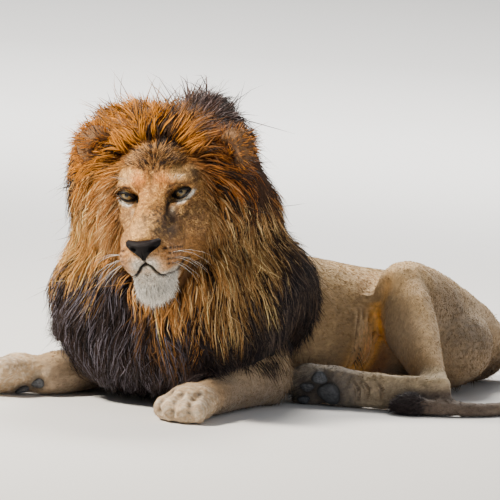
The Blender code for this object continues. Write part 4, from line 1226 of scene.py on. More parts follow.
def paths(start, length, lift, rng, clump_count, gather):
    """Paths of five points: step along the flow, stay on the envelope, add the lift, then lean to the
    clump's path by a share that grows to the tip."""
    here, normal = on_envelope(start)
    lead = rng.choice(len(start), clump_count, replace=False)
    tree = KDTree(clump_count)
    for k, q in enumerate(here[lead].tolist()):
        tree.insert(q, k)
    tree.balance()
    clump = np.array([tree.find(q)[1] for q in here.tolist()])
    twist = rng.normal(0, 0.16, (clump_count, 3))[clump] + rng.normal(0, 0.10, (len(start), 3))
    line, normals = [here], [normal]
    for step in np.diff(LOCK_T):
        way = laid_flat(mane_flow(line[-1], normals[-1]) + twist, normals[-1])
        here, normal = on_envelope(line[-1] + way * (length * step)[:, None])
        line.append(here)
        normals.append(normal)
    line, normals = np.stack(line, 1), np.stack(normals, 1)
    close = (gather[:, None] * LOCK_T[None, :] ** 1.4)[..., None]
    line = line + (line[lead[clump]] - line) * close
    return line + normals * lift[..., None], normals, clump


print("places along a lock", LOCK_T, "widths between its ends", LOCK_WIDTH)

# %% [markdown]
# Each lock is drawn as a thin three-sided spike: a point at the root, rings of three points and a point
# at the tip. Curves would be easier to draw, but a closed mesh can be exported, baked and printed.


# %% Locks as meshes
def all_tufts(points, tri):
    """Points and triangles of many tufts of one kind, and how many points each has."""
    above_floor(points)
    count, per = points.shape[:2]
    tri = outward(points[0] - points[0].mean(0), tri)
    return points.reshape(-1, 3), (tri[None] + per * np.arange(count)[:, None, None]).reshape(-1, 3), per


def spikes(line, normals, width, flat=0.45, profile=LOCK_WIDTH):
    """Points and triangles of all locks: rings of three across each path, a point at both ends."""
    count, rings = len(line), line.shape[1] - 2
    way = unit(np.gradient(line, axis=1))
    aside = unit(np.cross(way, normals))
    over = np.cross(aside, way)
    w = (width[:, None] * profile)[..., None]
    mid, a, o = line[:, 1:-1], aside[:, 1:-1], over[:, 1:-1]
    ring = np.stack([mid + a * w * 0.5, mid + o * w * flat, mid - a * w * 0.5], 2)
    points = np.concatenate([line[:, :1], ring.reshape(count, 3 * rings, 3), line[:, -1:]], 1)
    k, last = np.arange(3), 3 * rings + 1
    after = (k + 1) % 3
    tri = [np.column_stack([0 * k, 1 + after, 1 + k])]
    for a0 in range(1, last - 3, 3):
        tri += [np.column_stack([a0 + k, a0 + after, a0 + after + 3]),
                np.column_stack([a0 + k, a0 + after + 3, a0 + k + 3])]
    tri.append(np.column_stack([last - 3 + k, last - 3 + after, 0 * k + last]))
    return all_tufts(points, np.concatenate(tri))


BAKE_PATCH = 0.0014  # half of a tuft's patch on the map
BAKE_TURN = 2.4  # radians from one point of a tuft to the next round its patch


def bake_map(obj, triangles, per_tuft, root_uv):
    """A patch about 0.003 across for each tuft, placed at its root on the skin's unwrap."""
    corner = triangles.ravel()
    tuft, turn = corner // per_tuft, (corner % per_tuft) * BAKE_TURN
    patch = BAKE_PATCH * np.column_stack([np.cos(turn), np.sin(turn)])
    layer = obj.data.uv_layers.new(name="OFBake")
    layer.data.foreach_set("uv", (root_uv[tuft] + patch).astype(np.float32).ravel())


COAT = []


def coat_piece(name, shape, colours, root_uv, material, nodes):
    """Join a set of tufts into one mesh with its colours and its bake map."""
    points, triangles, per_tuft = shape
    obj = new_piece(name, points, triangles, material)
    paint(obj, "lock_colour", colours)
    bake_map(obj, triangles, per_tuft, root_uv)
    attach(obj, "root")
    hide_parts(*nodes)
    COAT.append((name, len(triangles)))


mane_hair = hair_material("mane_hair", "lock_colour", 260.0, (1.0, 1.0, 0.25), 0.25, 0.78, 1.2,
                          Roughness=0.55, Specular_IOR_Level=0.18)
fine_fur = hair_material("tuft_hair", "lock_colour", 300.0, (1.0, 0.6, 0.5), 0.2, 0.85, 1.15,
                         Roughness=0.60, Specular_IOR_Level=0.3)
print("hair finishes", mane_hair.name, fine_fur.name)

# %% [markdown]
# The mane has two layers: broad locks that fill it, and a finer one over them. Their roots lie deep
# in the mane and their tips at its outside, a few standing off it. Over the forelegs they end at a hem.


# %% The mane's two layers
def grow_mane(count, clumps, seed, deep, stand, width):
    """One layer of the mane: paths, normals, luck and widths for `count` locks."""
    rng = np.random.default_rng(seed)
    start, pick = scatter(ENVELOPE_POINTS, ENVELOPE_TRIANGLES, count, rng, mane_weight)
    thick, z, u = DEPTH[pick], start[:, 2], into(MANE, start)[:, 0]
    length = np.clip(2.3 * thick, 0.030, 0.105 + 0.055 * ease(0.60, 0.30, z)) * rng.uniform(0.75, 1.2, count)
    sink = -np.minimum(deep, 0.6 * thick)[:, None] * np.array([1, 0.5, 0.12, 0.0, 0])
    spread = rng.normal(0, 0.004, count)[:, None] * np.array([1, 1, 1, 0.9, 0.6])
    wisp = (rng.random(count) ** 3)[:, None]
    rise = stand * wisp * np.array([0, 0.05, 0.28, 0.7, 1.3])
    crown = ease(0.56, 0.66, z)[:, None]
    spiky = 0.010 * crown * np.array([0, 0.1, 0.5, 1.2, 2.0]) * rng.random(count)[:, None]
    low = -(0.010 + 0.016 * crown) * ease(0.020, 0.060, thick)[:, None]
    line, normals, clump = paths(start, length, sink + spread + rise + spiky + low, rng, clumps,
                                 rng.uniform(0.35, 0.85, count))
    room = line[:, 0, 2] - hem(into(MANE, line[:, -1])) + rng.normal(0, 0.012, count)
    fall = np.maximum(line[:, 0, 2] - line[:, -1, 2], 1e-4)
    share = np.clip(room / fall, 0.22, 1.0)[:, None, None]
    line = line[:, :1] + (line - line[:, :1]) * share
    flare = 0.030 * ease(-0.24, -0.36, u) * ease(0.37, 0.29, z) * ease(0.06, 0.13, z)
    line = line - level_right * (flare[:, None] * np.array([0, 0.25, 0.6, 0.9, 1.0]))[..., None]
    above_floor(line, 0.003)
    luck = np.random.default_rng(seed + 1).random(clumps)[clump]
    return line, normals, luck, rng, width * rng.uniform(0.7, 1.3, count)


def lock_colours(middle, tips):
    """A colour for each point of a lock: dark at the root as painted shade, full in the middle, tips lighter
    or darker.
    """
    shade = np.array([0.28] + [0.42] * 3 + [0.88] * 3 + [1.05] * 3 + [1.0])
    fade = np.array([0] * 4 + [0.1] * 3 + [0.65] * 3 + [1.0])[None, :, None]
    colours = middle[:, None] * shade[None, :, None]
    return (colours * (1 + fade * (tips[:, None, None] - 1))).reshape(-1, 3)


LOCKS_IN_PIECE = 10500  # 18 triangles each, which stays under 200,000
groups = {}
for seed, count, clumps, deep, stand, width in ((11, 13000, 700, 0.035, 0.006, 0.0040),
                                                (12, 34000, 1700, 0.022, 0.022, 0.0023)):
    line, normals, luck, rng, wide = grow_mane(count, clumps, seed, deep, stand, width)
    streak = rng.random(count)
    middle = mane_colour(line[:, 2], luck, streak)
    spiky_tips = ease(0.58, 0.66, line[:, -1, 2]) * (rng.random(count) < 0.55)
    colours = lock_colours(middle, np.where(spiky_tips > 0.3, 0.25, 1.12)).reshape(count, 11, 3)
    layer = line, normals, wide, colours, unwrap_at(line[:, 0])
    w = into(MANE, line[:, 1])
    region = np.where(w[:, 2] > 0.52, 0, np.where(w[:, 2] < 0.20, 3, np.where(w[:, 0] < -0.16, 1, 2)))
    for k, name in enumerate(("mane_crown", "mane_right", "mane_left", "mane_chest")):
        groups.setdefault(name, []).append([values[region == k] for values in layer])
for name, layers in groups.items():
    whole = [np.concatenate(values) for values in zip(*layers)]
    parts = int(np.ceil(len(whole[0]) / LOCKS_IN_PIECE))
    for part in range(parts):
        line, normals, wide, colours, roots = (values[part::parts] for values in whole)
        coat_piece(f"{name}_locks_{part + 1}", spikes(line, normals, wide), colours.reshape(-1, 3), roots,
                   mane_hair, [name])
print("mane locks", COAT)

# %% [markdown]
# Wind and weather lift some hair out of the mane. Long thin wisps stand up from the crest and the
# crown's right edge, and single strays leave the outline all round. Each is a lock like the others,
# but it leaves the surface at once and bends over near its tip.

# %% Wisps and strays
STRAY_ROOT = 0.022  # how deep a free lock starts
STRAY_TOP = 0.738  # and how high it may rise


def stray_hairs(name, weight, count, seed, length, stand, width, tone, nodes):
    """Free locks: from the envelope along a mix of its normal, the flow and up, then drooping."""
    rng = np.random.default_rng(seed)
    start, pick = scatter(ENVELOPE_POINTS, ENVELOPE_TRIANGLES, count, rng, weight)
    normal = unit(ENVELOPE_SOFT[pick])
    way = mane_flow(start, normal) * (1 - stand) + normal * stand + 1.1 * drift(start, 0.045, seed, 10)
    way = unit(way + rng.normal(0, 0.10, start.shape))
    length = (length * rng.uniform(0.5, 1.2, count))[:, None, None]
    t = LOCK_T[None, :, None]
    bend = 1.3 * drift(start, 0.035, seed + 5, 10)[:, None] + rng.normal(0, 0.14, (count, 1, 3))
    bend = bend + 0.35 * DOWN * rng.random((count, 1, 1))
    line = (start - normal * STRAY_ROOT)[:, None] + way[:, None] * t * (length + STRAY_ROOT)
    line = line + bend * t ** 2 * length
    line[..., 2] = np.clip(line[..., 2], 0.004, STRAY_TOP + 0.004 * rng.random((count, 1)))
    colours = lock_colours(tone(start, rng), np.full(count, 0.8))
    shape = spikes(line, np.repeat(normal[:, None], 5, 1), width * rng.uniform(0.7, 1.3, count))
    coat_piece(name, shape, colours, unwrap_at(start), mane_hair, nodes)


def crest_tone(p, rng):
    """The crest's own colour, darker."""
    return mane_colour(p, np.full(len(p), 0.3), rng.random(len(p))) * 0.7


def tip_tone(p, rng):
    """Orange or dark brown."""
    return mix(np.tile((0.60, 0.22, 0.02), (len(p), 1)), (0.05, 0.03, 0.02), rng.random(len(p)) < 0.55)


def mane_tone(p, rng):
    """The mane's colour with any luck and streak."""
    return mane_colour(p, rng.random(len(p)), rng.random(len(p)))


place_u, _, place_z = mane_centres.T
top = mane_weight * ease(0.630, 0.670, place_z) * ease(-0.45, -0.35, place_u)
top = top * (1 + 3 * bell(mane_centres, (-0.16, -0.10, 0.70), (0.05, 0.3, 0.05)))
top = top * (0.06 + ease(0.50, 0.60, waves(centres, 0.030, 34)))
stray_hairs("crest_wisps", top, 170, 31, 0.060, 0.36, 0.0026, crest_tone, ["mane_crown"])
corner = mane_weight * bell(mane_centres, (-0.385, -0.12, 0.590), (0.06, 0.25, 0.085))
corner = corner * (0.10 + ease(0.46, 0.58, waves(centres, 0.026, 35)))
stray_hairs("crown_tips", corner, 420, 32, 0.024, 0.45, 0.0030, tip_tone, ["mane_crown"])
stray_hairs("mane_strays", mane_weight * (place_z > 0.12), 1300, 33, 0.050, 0.22, 0.0013, mane_tone,
            ["mane_left", "mane_right"])
print("strays", COAT[-3:])

# %% [markdown]
# Under the locks lies a soft mass, as the underfur does, in the mane's colours darkened to a painted
# shade, as between locks deep in a mane. It closes every gap between locks. It is the mane's own solids
# fused and drawn inwards, most where the mane is thickest.

# %% The mane's underfur
under = fused("mane_underfur", MANE_NODES, swell=0.004, voxel=0.015, rounds=6)
U, _, UE = mesh_arrays(under.data)
outward_there = ENVELOPE_SOFT[nearest(ENVELOPE_TREE, U, TRIANGLE)]
near_hem = 1 + 1.3 * ease(0.070, 0.010, U[:, 2] - hem(into(MANE, U))) * (U[:, 2] > 0.02)
sink = np.minimum(0.030, 0.55 * nearest(SKIN_TREE, U, DISTANCE) + 0.006) * near_hem
sink *= nearest(ENVELOPE_TREE, U, DISTANCE) < 0.010  # only the outside moves
U = relax(U - outward_there * sink[:, None], UE, 0.5, 3)
above_floor(U, 0.002)
set_points(under, U)
# the mane's colour at 0.30: painted shade, as deep between the locks
paint(under, "coat_colour", mane_colour(U, np.full(len(U), 0.5), np.full(len(U), 0.6)) * 0.30)
under_hair = hair_material("underfur", "coat_colour", 120.0, (1.0, 1.0, 0.2), 1.0, 0.4, 1.6, Roughness=0.8)
under.data.materials.append(under_hair)
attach(under, "root")
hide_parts(*MANE_NODES)
print("underfur", len(U), "points")

# %% [markdown]
# Ears are cups of gristle with a rim of hair. Each is the frame's own ear, fused smooth, with its
# front pushed in: the push is a bell about the ear's middle, along the ear's thin way.

# %% Ears
ears = fused("ears", ["ear_left", "ear_right"], swell=0.001, voxel=0.0035, rounds=5)
A, AT, _ = mesh_arrays(ears.data)
ear_axis, ear_middle = np.zeros_like(A), np.zeros_like(A)
for side in (1, -1):
    mine = into(HEAD, A)[:, 0] * side > 0
    middle = A[mine].mean(0)
    facing = unit(np.linalg.svd(A[mine] - middle, full_matrices=False)[2][2])
    facing = facing * np.sign(facing @ (FORWARD + 0.3 * side * HEAD_AXES[:, 0]))
    ear_axis[mine], ear_middle[mine] = facing, middle
gap = A - ear_middle
ahead = (gap * ear_axis).sum(1)
out = np.linalg.norm(gap - ahead[:, None] * ear_axis, axis=1)
front_side = ease(-0.004, 0.006, ahead)
cup = np.exp(-(out / 0.027) ** 4) * front_side
A = A - ear_axis * (0.017 * cup)[:, None]
set_points(ears, A)
EAR_N = point_normals(A, AT)
# Black-brown behind and rusty in front; dark inside the cup as painted shade in its hollow.
paint(ears, "coat_colour", layered(np.tile((0.060, 0.038, 0.026), (len(A), 1)),
                                   ((0.20, 0.095, 0.032), 0.9 * front_side),
                                   ((0.040, 0.024, 0.015), 0.9 * cup)))
ears.data.materials.append(face_fur)
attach(ears, "root")
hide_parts("ear_left", "ear_right")
print("ears", len(A), "points")

# %% [markdown]
# On the body the coat is short and lies back from the nose to the tail and down the limbs. Its
# direction at a place is that of the nearest limb lines, blended by nearness.

# %% The lie of the short coat
LIMBS = [[(0.0, -0.40, 0.36), (0.0, 0.05, 0.33), (0.0, 0.42, 0.27), (0.0, 0.60, 0.12)],
         [(0.17, -0.40, 0.32), (0.19, -0.20, 0.22), (0.18, 0.10, 0.14)],
         [(-0.18, -0.40, 0.32), (-0.22, -0.10, 0.20), (-0.22, 0.30, 0.14)],
         [(0.19, -0.385, 0.26), (0.225, -0.37, 0.07)],
         [(0.225, -0.40, 0.08), (0.262, -0.54, 0.08), (0.37, -0.82, 0.04)],
         [(-0.17, -0.385, 0.26), (-0.20, -0.37, 0.07)],
         [(-0.20, -0.40, 0.08), (-0.142, -0.56, 0.08), (-0.074, -0.80, 0.06), (-0.08, -0.97, 0.04)],
         [(0.06, 0.45, 0.20), (0.16, 0.20, 0.26), (0.215, 0.03, 0.30)],
         [(0.21, 0.0, 0.28), (0.30, 0.00, 0.15), (0.46, -0.06, 0.05)],
         [(0.10, 0.30, 0.20), (0.22, 0.20, 0.12), (0.26, 0.22, 0.03)],
         [(0.47, -0.06, 0.05), (0.33, -0.18, 0.05), (0.23, -0.28, 0.05)],
         [(-0.10, 0.45, 0.20), (-0.22, 0.10, 0.12), (-0.27, 0.40, 0.05)],
         [(-0.28, 0.45, 0.04), (-0.36, 0.10, 0.03)], TAIL]


def body_flow(p, n):
    """The way of each limb line, weighted by one over distance to the fourth, laid on the surface."""
    total = np.zeros_like(p)
    for line in LIMBS:
        for a, b in zip(np.array(line[:-1]), np.array(line[1:])):
            t = np.clip(((p - a) @ (b - a)) / ((b - a) @ (b - a)), 0, 1)
            gap = ((p - a - t[:, None] * (b - a)) ** 2).sum(1)
            total += unit(b - a) / (gap[:, None] + 1e-4) ** 2
    return laid_flat(unit(total) + 0.22 * DOWN + 0.22 * drift(p, 0.09, 90), n)


def face_flow(p, n):
    """Away from the nose in the head's frame: up the bridge, back over the brow, down the cheeks."""
    h = into(HEAD, p)
    away = unit(h - [0, -0.185, -0.078])
    away[:, 2] += 0.5 * ease(-0.02, 0.05, h[:, 2]) - 0.35 * ease(-0.07, -0.12, h[:, 2])
    away[:, 1] += 0.35
    return laid_flat(away @ HEAD_AXES.T + 0.22 * drift(p, 0.02, 95), n)


print("limb lines", len(LIMBS))

# %% [markdown]
# A tuft of the short coat is the smallest closed solid, a base triangle and a tip. It takes the skin's
# colour at its root. None grows on leather, lids or lips, and fewer where the view never comes.


# %% Short fur on the body and face
def darts(root, way, normal, length, width, rise):
    """Closed tufts of four faces: a base triangle across the root, 1.2 mm in the skin, and a tip."""
    aside = np.cross(way, normal)
    low = root - normal * 0.0012
    w = width[:, None]
    points = np.stack([low + aside * w * 0.5, low - aside * w * 0.5, low + normal * (w * 0.6) - way * w * 0.6,
                       root + way * length[:, None] + normal * rise[:, None]], 1)
    return all_tufts(points, np.array([[0, 1, 2], [0, 3, 1], [1, 3, 2], [2, 3, 0]]))


SKIN_SOFT = N[T].mean(1)
triangle_centres = P[T].mean(1)
DEPTH_AT_SKIN = nearest(ENVELOPE_TREE, triangle_centres, DISTANCE)  # from there to the envelope
head_middle = into(HEAD, triangle_centres)
is_face, is_paw = face_zone(triangle_centres), paw_zone(triangle_centres)
off_floor = triangle_centres[:, 2] > 0.004
body_weight = (1 - ease(0.010, 0.020, DEPTH_AT_SKIN)) * ~is_face * off_floor
body_weight *= (0.55 + 0.45 * ease(-0.5, 0.4, SKIN_SOFT @ level_back)) * (1 + 0.8 * is_paw)
for _, middle, half in PADS:
    body_weight *= bell(triangle_centres, middle, 0.9 * half[0]) < 0.35
for _, bottom, width in FOLD_LINES[:len(FLANK_FOLDS)]:
    body_weight *= 1 - 0.95 * on_line(near_line(triangle_centres, bottom)[0], 2.4 * width)


def grow_short(name, weight, count, seed, flow, size, nodes, vary=0.34):
    """One layer of darts: `size` gives length, width and rise at each place, the colour is the coat's."""
    rng = np.random.default_rng(seed)
    root, pick = scatter(P, T, count, rng, weight)
    normal = unit(SKIN_SOFT[pick])
    way = flow(root, normal)
    way = unit(way + rng.normal(0, 0.16, count)[:, None] * np.cross(normal, way))
    length, width, rise = (value * rng.uniform(low, high, count)
                           for value, low, high in zip(size(root), (0.7, 0.7, 0.5), (1.3, 1.3, 1.4)))
    own = 1 + vary * (rng.random(count) - 0.5) + 0.18 * (waves(root, 0.02, 99) - 0.5)
    colours = coat_colour(root, normal) * own[:, None]
    colours = np.clip(colours[:, None] * np.array([0.90, 0.90, 0.94, 1.10])[None, :, None], 0, 1)
    coat_piece(name, darts(root, way, normal, length, width, rise), colours.reshape(-1, 3), TRIANGLE_UV[pick],
               fine_fur, nodes)


def body_size(p):
    """Shorter and finer on the paws."""
    on_paw = paw_zone(p, 0.09)
    return [np.where(on_paw, short, long) for short, long in ((0.0070, 0.0098), (0.0011, 0.0014),
                                                              (0.0015, 0.0016))]


def face_size(p):
    """Longer towards the ears and the crown."""
    m = mirrored(into(HEAD, p))
    return 0.0048 + 0.0040 * ease(-0.10, 0.03, m[:, 1]) + 0.006 * ease(0.05, 0.09, m[:, 2]), 0.00105, 0.0013


for part, seed in ((1, 41), (2, 42)):
    grow_short(f"body_fur_{part}", body_weight, 33000, seed, body_flow, body_size, BODY_NODES)
m = mirrored(head_middle)
bare = (bell(m, (0, -0.176, -0.086), (0.040, 0.030, 0.027)) > 0.34) | (lid_gap(m) <= 0.0042)
for line, width in ((MOUTH, 0.0028), (PHILTRUM, 0.0028), (TEAR, 0.002)):
    bare |= near_line(m, line)[0] < width
grow_short("face_fur", is_face * ~bare * off_floor, 36000, 43, face_flow, face_size, ["head", "jaw"],
           vary=0.95)
print("short fur", COAT[-3:])

# %% [markdown]
# Longer hair grows where the face meets the mane, on the chin, in and round the ears, behind the
# elbows, on the belly's edge, along the back of the thigh and at the tail's end.


# %% Fringes, beard and tail tuft
def seeds_where(weight, count, seed):
    """Roots on the skin: places, triangle numbers and normals."""
    rng = np.random.default_rng(seed)
    root, pick = scatter(P, T, count, rng, weight)
    return root, TRIANGLE_UV[pick], unit(SKIN_SOFT[pick]), rng


def spread_way(way, rng, spread):
    """The way with a random lean of its own for each lock."""
    return unit(way + rng.normal(0, spread, way.shape))


def varied(rng, count, low=0.7, high=1.3):
    """Random factors, one for each lock."""
    return rng.uniform(low, high, count)


def fringe(name, seed, root, uv, normal, way, length, width, colour, drop, curl, nodes, tip):
    """Locks rooted on a surface: each path leaves along its way and bends down by `drop` of its length."""
    count = len(root)
    t = np.array([0, 0.22, 0.62, 1.0])[None, :, None]
    wobble = np.random.default_rng(seed).normal(0, curl, (count, 1, 3)) * t ** 2 * length[:, None, None]
    line = root[:, None] - normal[:, None] * 0.002 + way[:, None] * t * length[:, None, None]
    line = line + DOWN * (drop * length)[:, None, None] * t ** 2 + wobble
    above_floor(line, 0.002)
    shape = spikes(line, np.repeat(normal[:, None], 4, 1), np.broadcast_to(width, count),
                   profile=np.array([1.0, 0.75]))
    # darker towards the root: painted shade among the hairs
    shade = np.array([0.62] + [0.75] * 3 + [1.0] * 3 + [tip])
    colours = np.clip(colour[:, None] * shade[None, :, None], 0, 1).reshape(-1, 3)
    coat_piece(name, shape, colours, uv, fine_fur, nodes)


hx, hy, hz = head_middle.T
edge_weight = ease(0.024, 0.044, hy) * ease(0.115, 0.090, hy) * (abs(hz) < 0.19) * (abs(hx) < 0.15)
right_cheek = ease(-0.066, -0.080, hx) * ease(-0.045, -0.015, hy) * (abs(hz + 0.03) < 0.12) * (hy < 0.11)
root, uv, normal, rng = seeds_where(np.maximum(edge_weight, 1.3 * right_cheek), 4800, 51)
way = spread_way(mane_flow(root, normal) + 0.45 * normal, rng, 0.10)
x, y, _ = into(HEAD, root).T
inner = np.maximum(ease(0.026, 0.070, y), 0.85 * ease(-0.064, -0.080, x))
length = (0.018 + 0.040 * inner) * varied(rng, len(root))
tone = mix(coat_colour(root, normal), mane_tone(root + way * 0.05, rng), np.clip(0.25 + 0.95 * inner, 0, 1))
fringe("hairline", 52, root, uv, normal, way, length, 0.0011 + 0.0013 * inner, tone,
       drop=0.15, curl=0.10, nodes=["head", "neck"], tip=1.05)

brow_top = ease(0.050, 0.074, hz - 0.020 * ease(0.008, 0.060, abs(hx - 0.006)))
root, uv, normal, rng = seeds_where(brow_top * (hy < 0.085) * (abs(hx) < 0.110), 2600, 50)
up = ease(0.046, 0.096, into(HEAD, root)[:, 2])
share = 0.6 * up[:, None]
way = face_flow(root, normal) * (1 - share) + mane_flow(root, normal) * share + 0.40 * normal
way = spread_way(way, rng, 0.10)
streak = waves(into(HEAD, root) * [1.0, 0.35, 0.20], 0.0060, 21)
tone = np.where(streak[:, None] > 0.50, (0.065, 0.034, 0.018), (0.52, 0.260, 0.080))
tone = tone * varied(rng, (len(root), 1))
fringe("brow_hair", 49, root, uv, normal, way, (0.009 + 0.020 * up) * varied(rng, len(root)),
       0.0009 + 0.0007 * up, tone, drop=0.05, curl=0.08, nodes=["head"], tip=1.05)

beard_weight = (abs(hz + 0.183) < 0.035) * (hy < -0.045) * (abs(hx) < 0.050)
root, uv, normal, rng = seeds_where(beard_weight, 2400, 53)
way = spread_way(normal * 0.35 + HEAD_AXES @ [0, 0.10, -1.0], rng, 0.13)
length = (0.010 + 0.018 * ease(-0.155, -0.185, into(HEAD, root)[:, 2])) * varied(rng, len(root), 0.6, 1.4)
tone = np.array([0.90, 0.85, 0.76]) * varied(rng, (len(root), 1), 0.55, 1.1)
fringe("beard", 54, root, uv, normal, way, length, 0.0016, tone,
       drop=0.1, curl=0.16, nodes=["jaw"], tip=1.1)
print("fringes of the head", COAT[-3:])

# %% [markdown]
# On the body the same helper grows four more: the hair that hides the mane's rear edge, the tail's
# tuft, the fringe of elbows, belly and thighs, and the ears' own hair, which is dark and orange.

# %% Fringes of the body and the ears
blanket = ease(0.009, 0.013, DEPTH_AT_SKIN) * ease(0.070, 0.030, DEPTH_AT_SKIN) * ~is_face
blanket = blanket * (triangle_centres[:, 1] < -0.05) * (triangle_centres[:, 2] > 0.10)
root, uv, normal, rng = seeds_where(blanket, 2200, 47)
way = mane_flow(root, normal) + 0.5 * body_flow(root, normal) + 0.30 * normal
way = spread_way(way, rng, 0.12)
tone = mane_tone(root, rng)
fringe("mane_edge_hair", 46, root, uv, normal, way, varied(rng, len(root), 0.030, 0.060), 0.0020, tone,
       drop=0.25, curl=0.08, nodes=["trunk", "neck"], tip=1.2)

tail_gap, tail_along = near_line(triangle_centres, TAIL)
tail_weight = (tail_gap < 0.031) * ease(0.915, 0.940, tail_along) * ~is_paw
root, uv, normal, rng = seeds_where(tail_weight, 1500, 55)
way = spread_way(body_flow(root, normal) + 0.30 * normal, rng, 0.16)
tone = np.array([0.030, 0.022, 0.022]) * varied(rng, (len(root), 1), 0.6, 1.9)
fringe("tail_tuft_hair", 56, root, uv, normal, way, varied(rng, len(root), 0.014, 0.030), 0.0018, tone,
       drop=0.15, curl=0.12, nodes=["tail_tuft"], tip=1.2)

fringed = 0
for share, middle, radii in ((1.0, (0.228, -0.345, 0.075), (0.05, 0.05, 0.06)),  # elbows
                             (1.0, (-0.215, -0.345, 0.075), (0.05, 0.05, 0.06)),
                             (0.6, (0.14, 0.50, 0.06), (0.10, 0.10, 0.06)),  # backs of the thighs
                             (0.6, (-0.16, 0.50, 0.06), (0.10, 0.12, 0.06)),
                             (0.6, (0.17, -0.10, 0.035), (0.04, 0.25, 0.025)),  # belly's edges
                             (0.6, (-0.19, -0.05, 0.035), (0.04, 0.25, 0.025))):
    fringed = fringed + share * bell(triangle_centres, middle, radii)
root, uv, normal, rng = seeds_where(fringed * off_floor, 2400, 57)
way = spread_way(body_flow(root, normal) + 0.25 * normal, rng, 0.12)
tone = coat_colour(root, normal) * varied(rng, (len(root), 1), 0.7, 1.2)
fringe("elbow_and_belly_fringe", 58, root, uv, normal, way, varied(rng, len(root), 0.018, 0.034), 0.0017,
       tone, drop=0.2, curl=0.08, nodes=["trunk"], tip=1.1)

rng = np.random.default_rng(59)
root, pick = scatter(A, AT, 2000, rng)
normal, corner = unit(EAR_N[AT].mean(1)[pick]), AT[pick, 0]
inside, right_ear = cup[corner], into(HEAD, root)[:, 0] < 0
way = (unit(root - ear_middle[corner]) * (1 - 1.5 * inside)[:, None] + normal * 0.5
       + ear_axis[corner] * 0.4 * inside[:, None] + 0.5 * mane_flow(root, normal))
way = spread_way(way, rng, 0.16)
length = (0.014 + 0.016 * rng.random(len(root))) * (1 + 0.4 * inside + 0.1 * right_ear)
orange = np.array([0.60, 0.215, 0.022]) * varied(rng, (len(root), 1), 0.5, 1.2)
dark = rng.random(len(root)) < np.where(right_ear, 0.18, 0.60 - 0.25 * inside)
fringe("ear_hair", 60, root, unwrap_at(root), normal, way, length, 0.0016,
       mix(orange, (0.060, 0.036, 0.024), dark * 0.95), drop=0.1, curl=0.12,
       nodes=["ear_left", "ear_right"], tip=0.75)
print("fringes of the body", COAT[-4:])

# %% [markdown]
# Whiskers are stiff white hairs in rows on the pads, a few more over each eye. They leave sideways,
# sweep back and droop. Each is one long thin lock.

# %% Whiskers
rng = np.random.default_rng(61)
starts, ways, reach = [], [], []
for side in (1, -1):
    for row, z in enumerate(WHISKER_ROWS[1:]):
        for step in range(3):
            starts.append((side * 0.060, -0.146 + 0.0180 * step + 0.005 * (row % 2), z - 0.0016 * step))
            ways.append((side * 0.80, 0.30 + 0.20 * step, 0.22 - 0.22 * row - 0.06 * step))
            reach.append(0.062 + 0.010 * step)
    for k in range(4):
        starts.append((side * (0.044 + 0.007 * k), -0.020, 0.047 + 0.002 * k))
        ways.append((side * (0.15 + 0.15 * k), -0.35, 0.85))
        reach.append(0.045)
starts, ways = out_of(HEAD, np.array(starts)), np.array(ways) + rng.normal(0, 0.07, (len(ways), 3))
uv, normal = unwrap_at(starts), nearest(SKIN_TREE, starts, NORMAL)
starts = nearest(SKIN_TREE, starts, PLACE)
ways = unit(ways @ HEAD_AXES.T + 0.35 * normal)
length = (np.array(reach) * rng.uniform(0.8, 1.3, len(reach)))[:, None, None]
t = LOCK_T[None, :, None]
line = (starts - normal * 0.002)[:, None] + ways[:, None] * t * length
line = line + (DOWN * 0.45 + rng.normal(0, 0.06, (len(ways), 1, 3))) * t ** 2 * length
shape = spikes(line, np.repeat(normal[:, None], 5, 1), np.full(len(starts), 0.00055), flat=0.8)
white = np.tile((0.86, 0.82, 0.74), (len(shape[0]), 1))
coat_piece("whiskers", shape, white, uv, fine_fur, ["head"])
print("whiskers", len(starts))

# %% [markdown]
# A pad is a low cushion of dark, finely cracked leather. The upturned left hind foot shows three toe
# pads and the sole's large one, the right forepaw two. Each is a flattened ball laid on the skin.

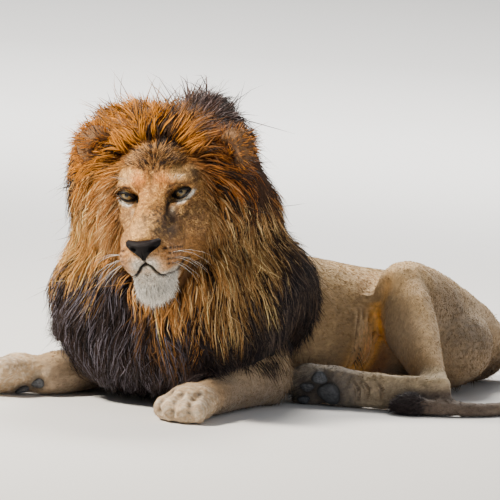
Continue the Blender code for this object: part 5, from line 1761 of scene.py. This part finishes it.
# %% Pads of the feet
PAD_GRID = 17, 28  # rings down from a pad's top, points round each
down, turn = np.meshgrid(np.linspace(0.02, pi - 0.02, PAD_GRID[0]),
                         np.linspace(0, 2 * pi, PAD_GRID[1], endpoint=False), indexing="ij")
down, turn = down.ravel(), turn.ravel()
ball = np.column_stack([np.sin(down) * np.cos(turn), np.sin(down) * np.sin(turn), np.cos(down)])
ball[:, 2] = np.sign(ball[:, 2]) * abs(ball[:, 2]) ** 0.8
fan = np.arange(1, PAD_GRID[1] - 1)
cap = np.column_stack([0 * fan, fan + 1, fan])
ball_triangles = np.concatenate([grid_triangles(*PAD_GRID, closed_columns=True), cap,
                                 len(ball) - PAD_GRID[1] + cap[:, [0, 2, 1]]])


def pad(middle, half):
    """A ball squashed along the skin's normal, its outline wavy by two and three waves round it."""
    place, normal, _, _ = SKIN_TREE.find_nearest(middle)
    normal = np.array(normal)
    one = unit(level_right - normal * (level_right @ normal))
    size = 1 + 0.06 * np.cos(2 * turn + middle[0] * 900) + 0.09 * np.cos(3 * turn + middle[1] * 700)
    axes = np.stack([one, np.cross(normal, one), normal])
    points = np.array(place) + (ball * half * size[:, None]) @ axes + normal * 0.0012
    triangles = outward(points - points.mean(0), ball_triangles)
    above_floor(points)
    return points, triangles


pad_points, pad_triangles = joined([pad(middle, half) for _, middle, half in PADS])
pad_leather, pad_tree, pad_main, pad_noise = painted_material("pad_leather", "pad_colour", Roughness=0.6,
                                                              Specular_IOR_Level=0.35)
bumped(pad_tree, pad_main, pad_noise.outputs["Fac"], 0.6, 0.001)
pads = new_piece("foot_pads", pad_points, pad_triangles, pad_leather)
# painted light on each pad's outer face, bluish, and painted shade at its rim, mottled by noise
pad_light_and_shade = np.tile(ease(0.25, 0.95, ball[:, 2]), len(PADS)) * (0.45 + 0.75 * waves(pad_points, 0.007, 62))
paint(pads, "pad_colour", mix(np.tile((0.018, 0.017, 0.018), (len(pad_light_and_shade), 1)), (0.100, 0.105, 0.115), pad_light_and_shade))
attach(pads, "root")
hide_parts("hindfoot_left", "forepaw_right")
print("pads", len(pad_points), "points")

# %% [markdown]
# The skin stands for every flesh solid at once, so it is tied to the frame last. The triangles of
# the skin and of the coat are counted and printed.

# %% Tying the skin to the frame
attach(skin, "root")
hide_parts(*HEAD_NODES[:2], *BODY_NODES)
skin.name = "skin"
print("triangles", len(T), "on the skin,", sum(count for _, count in COAT), "in the coat")
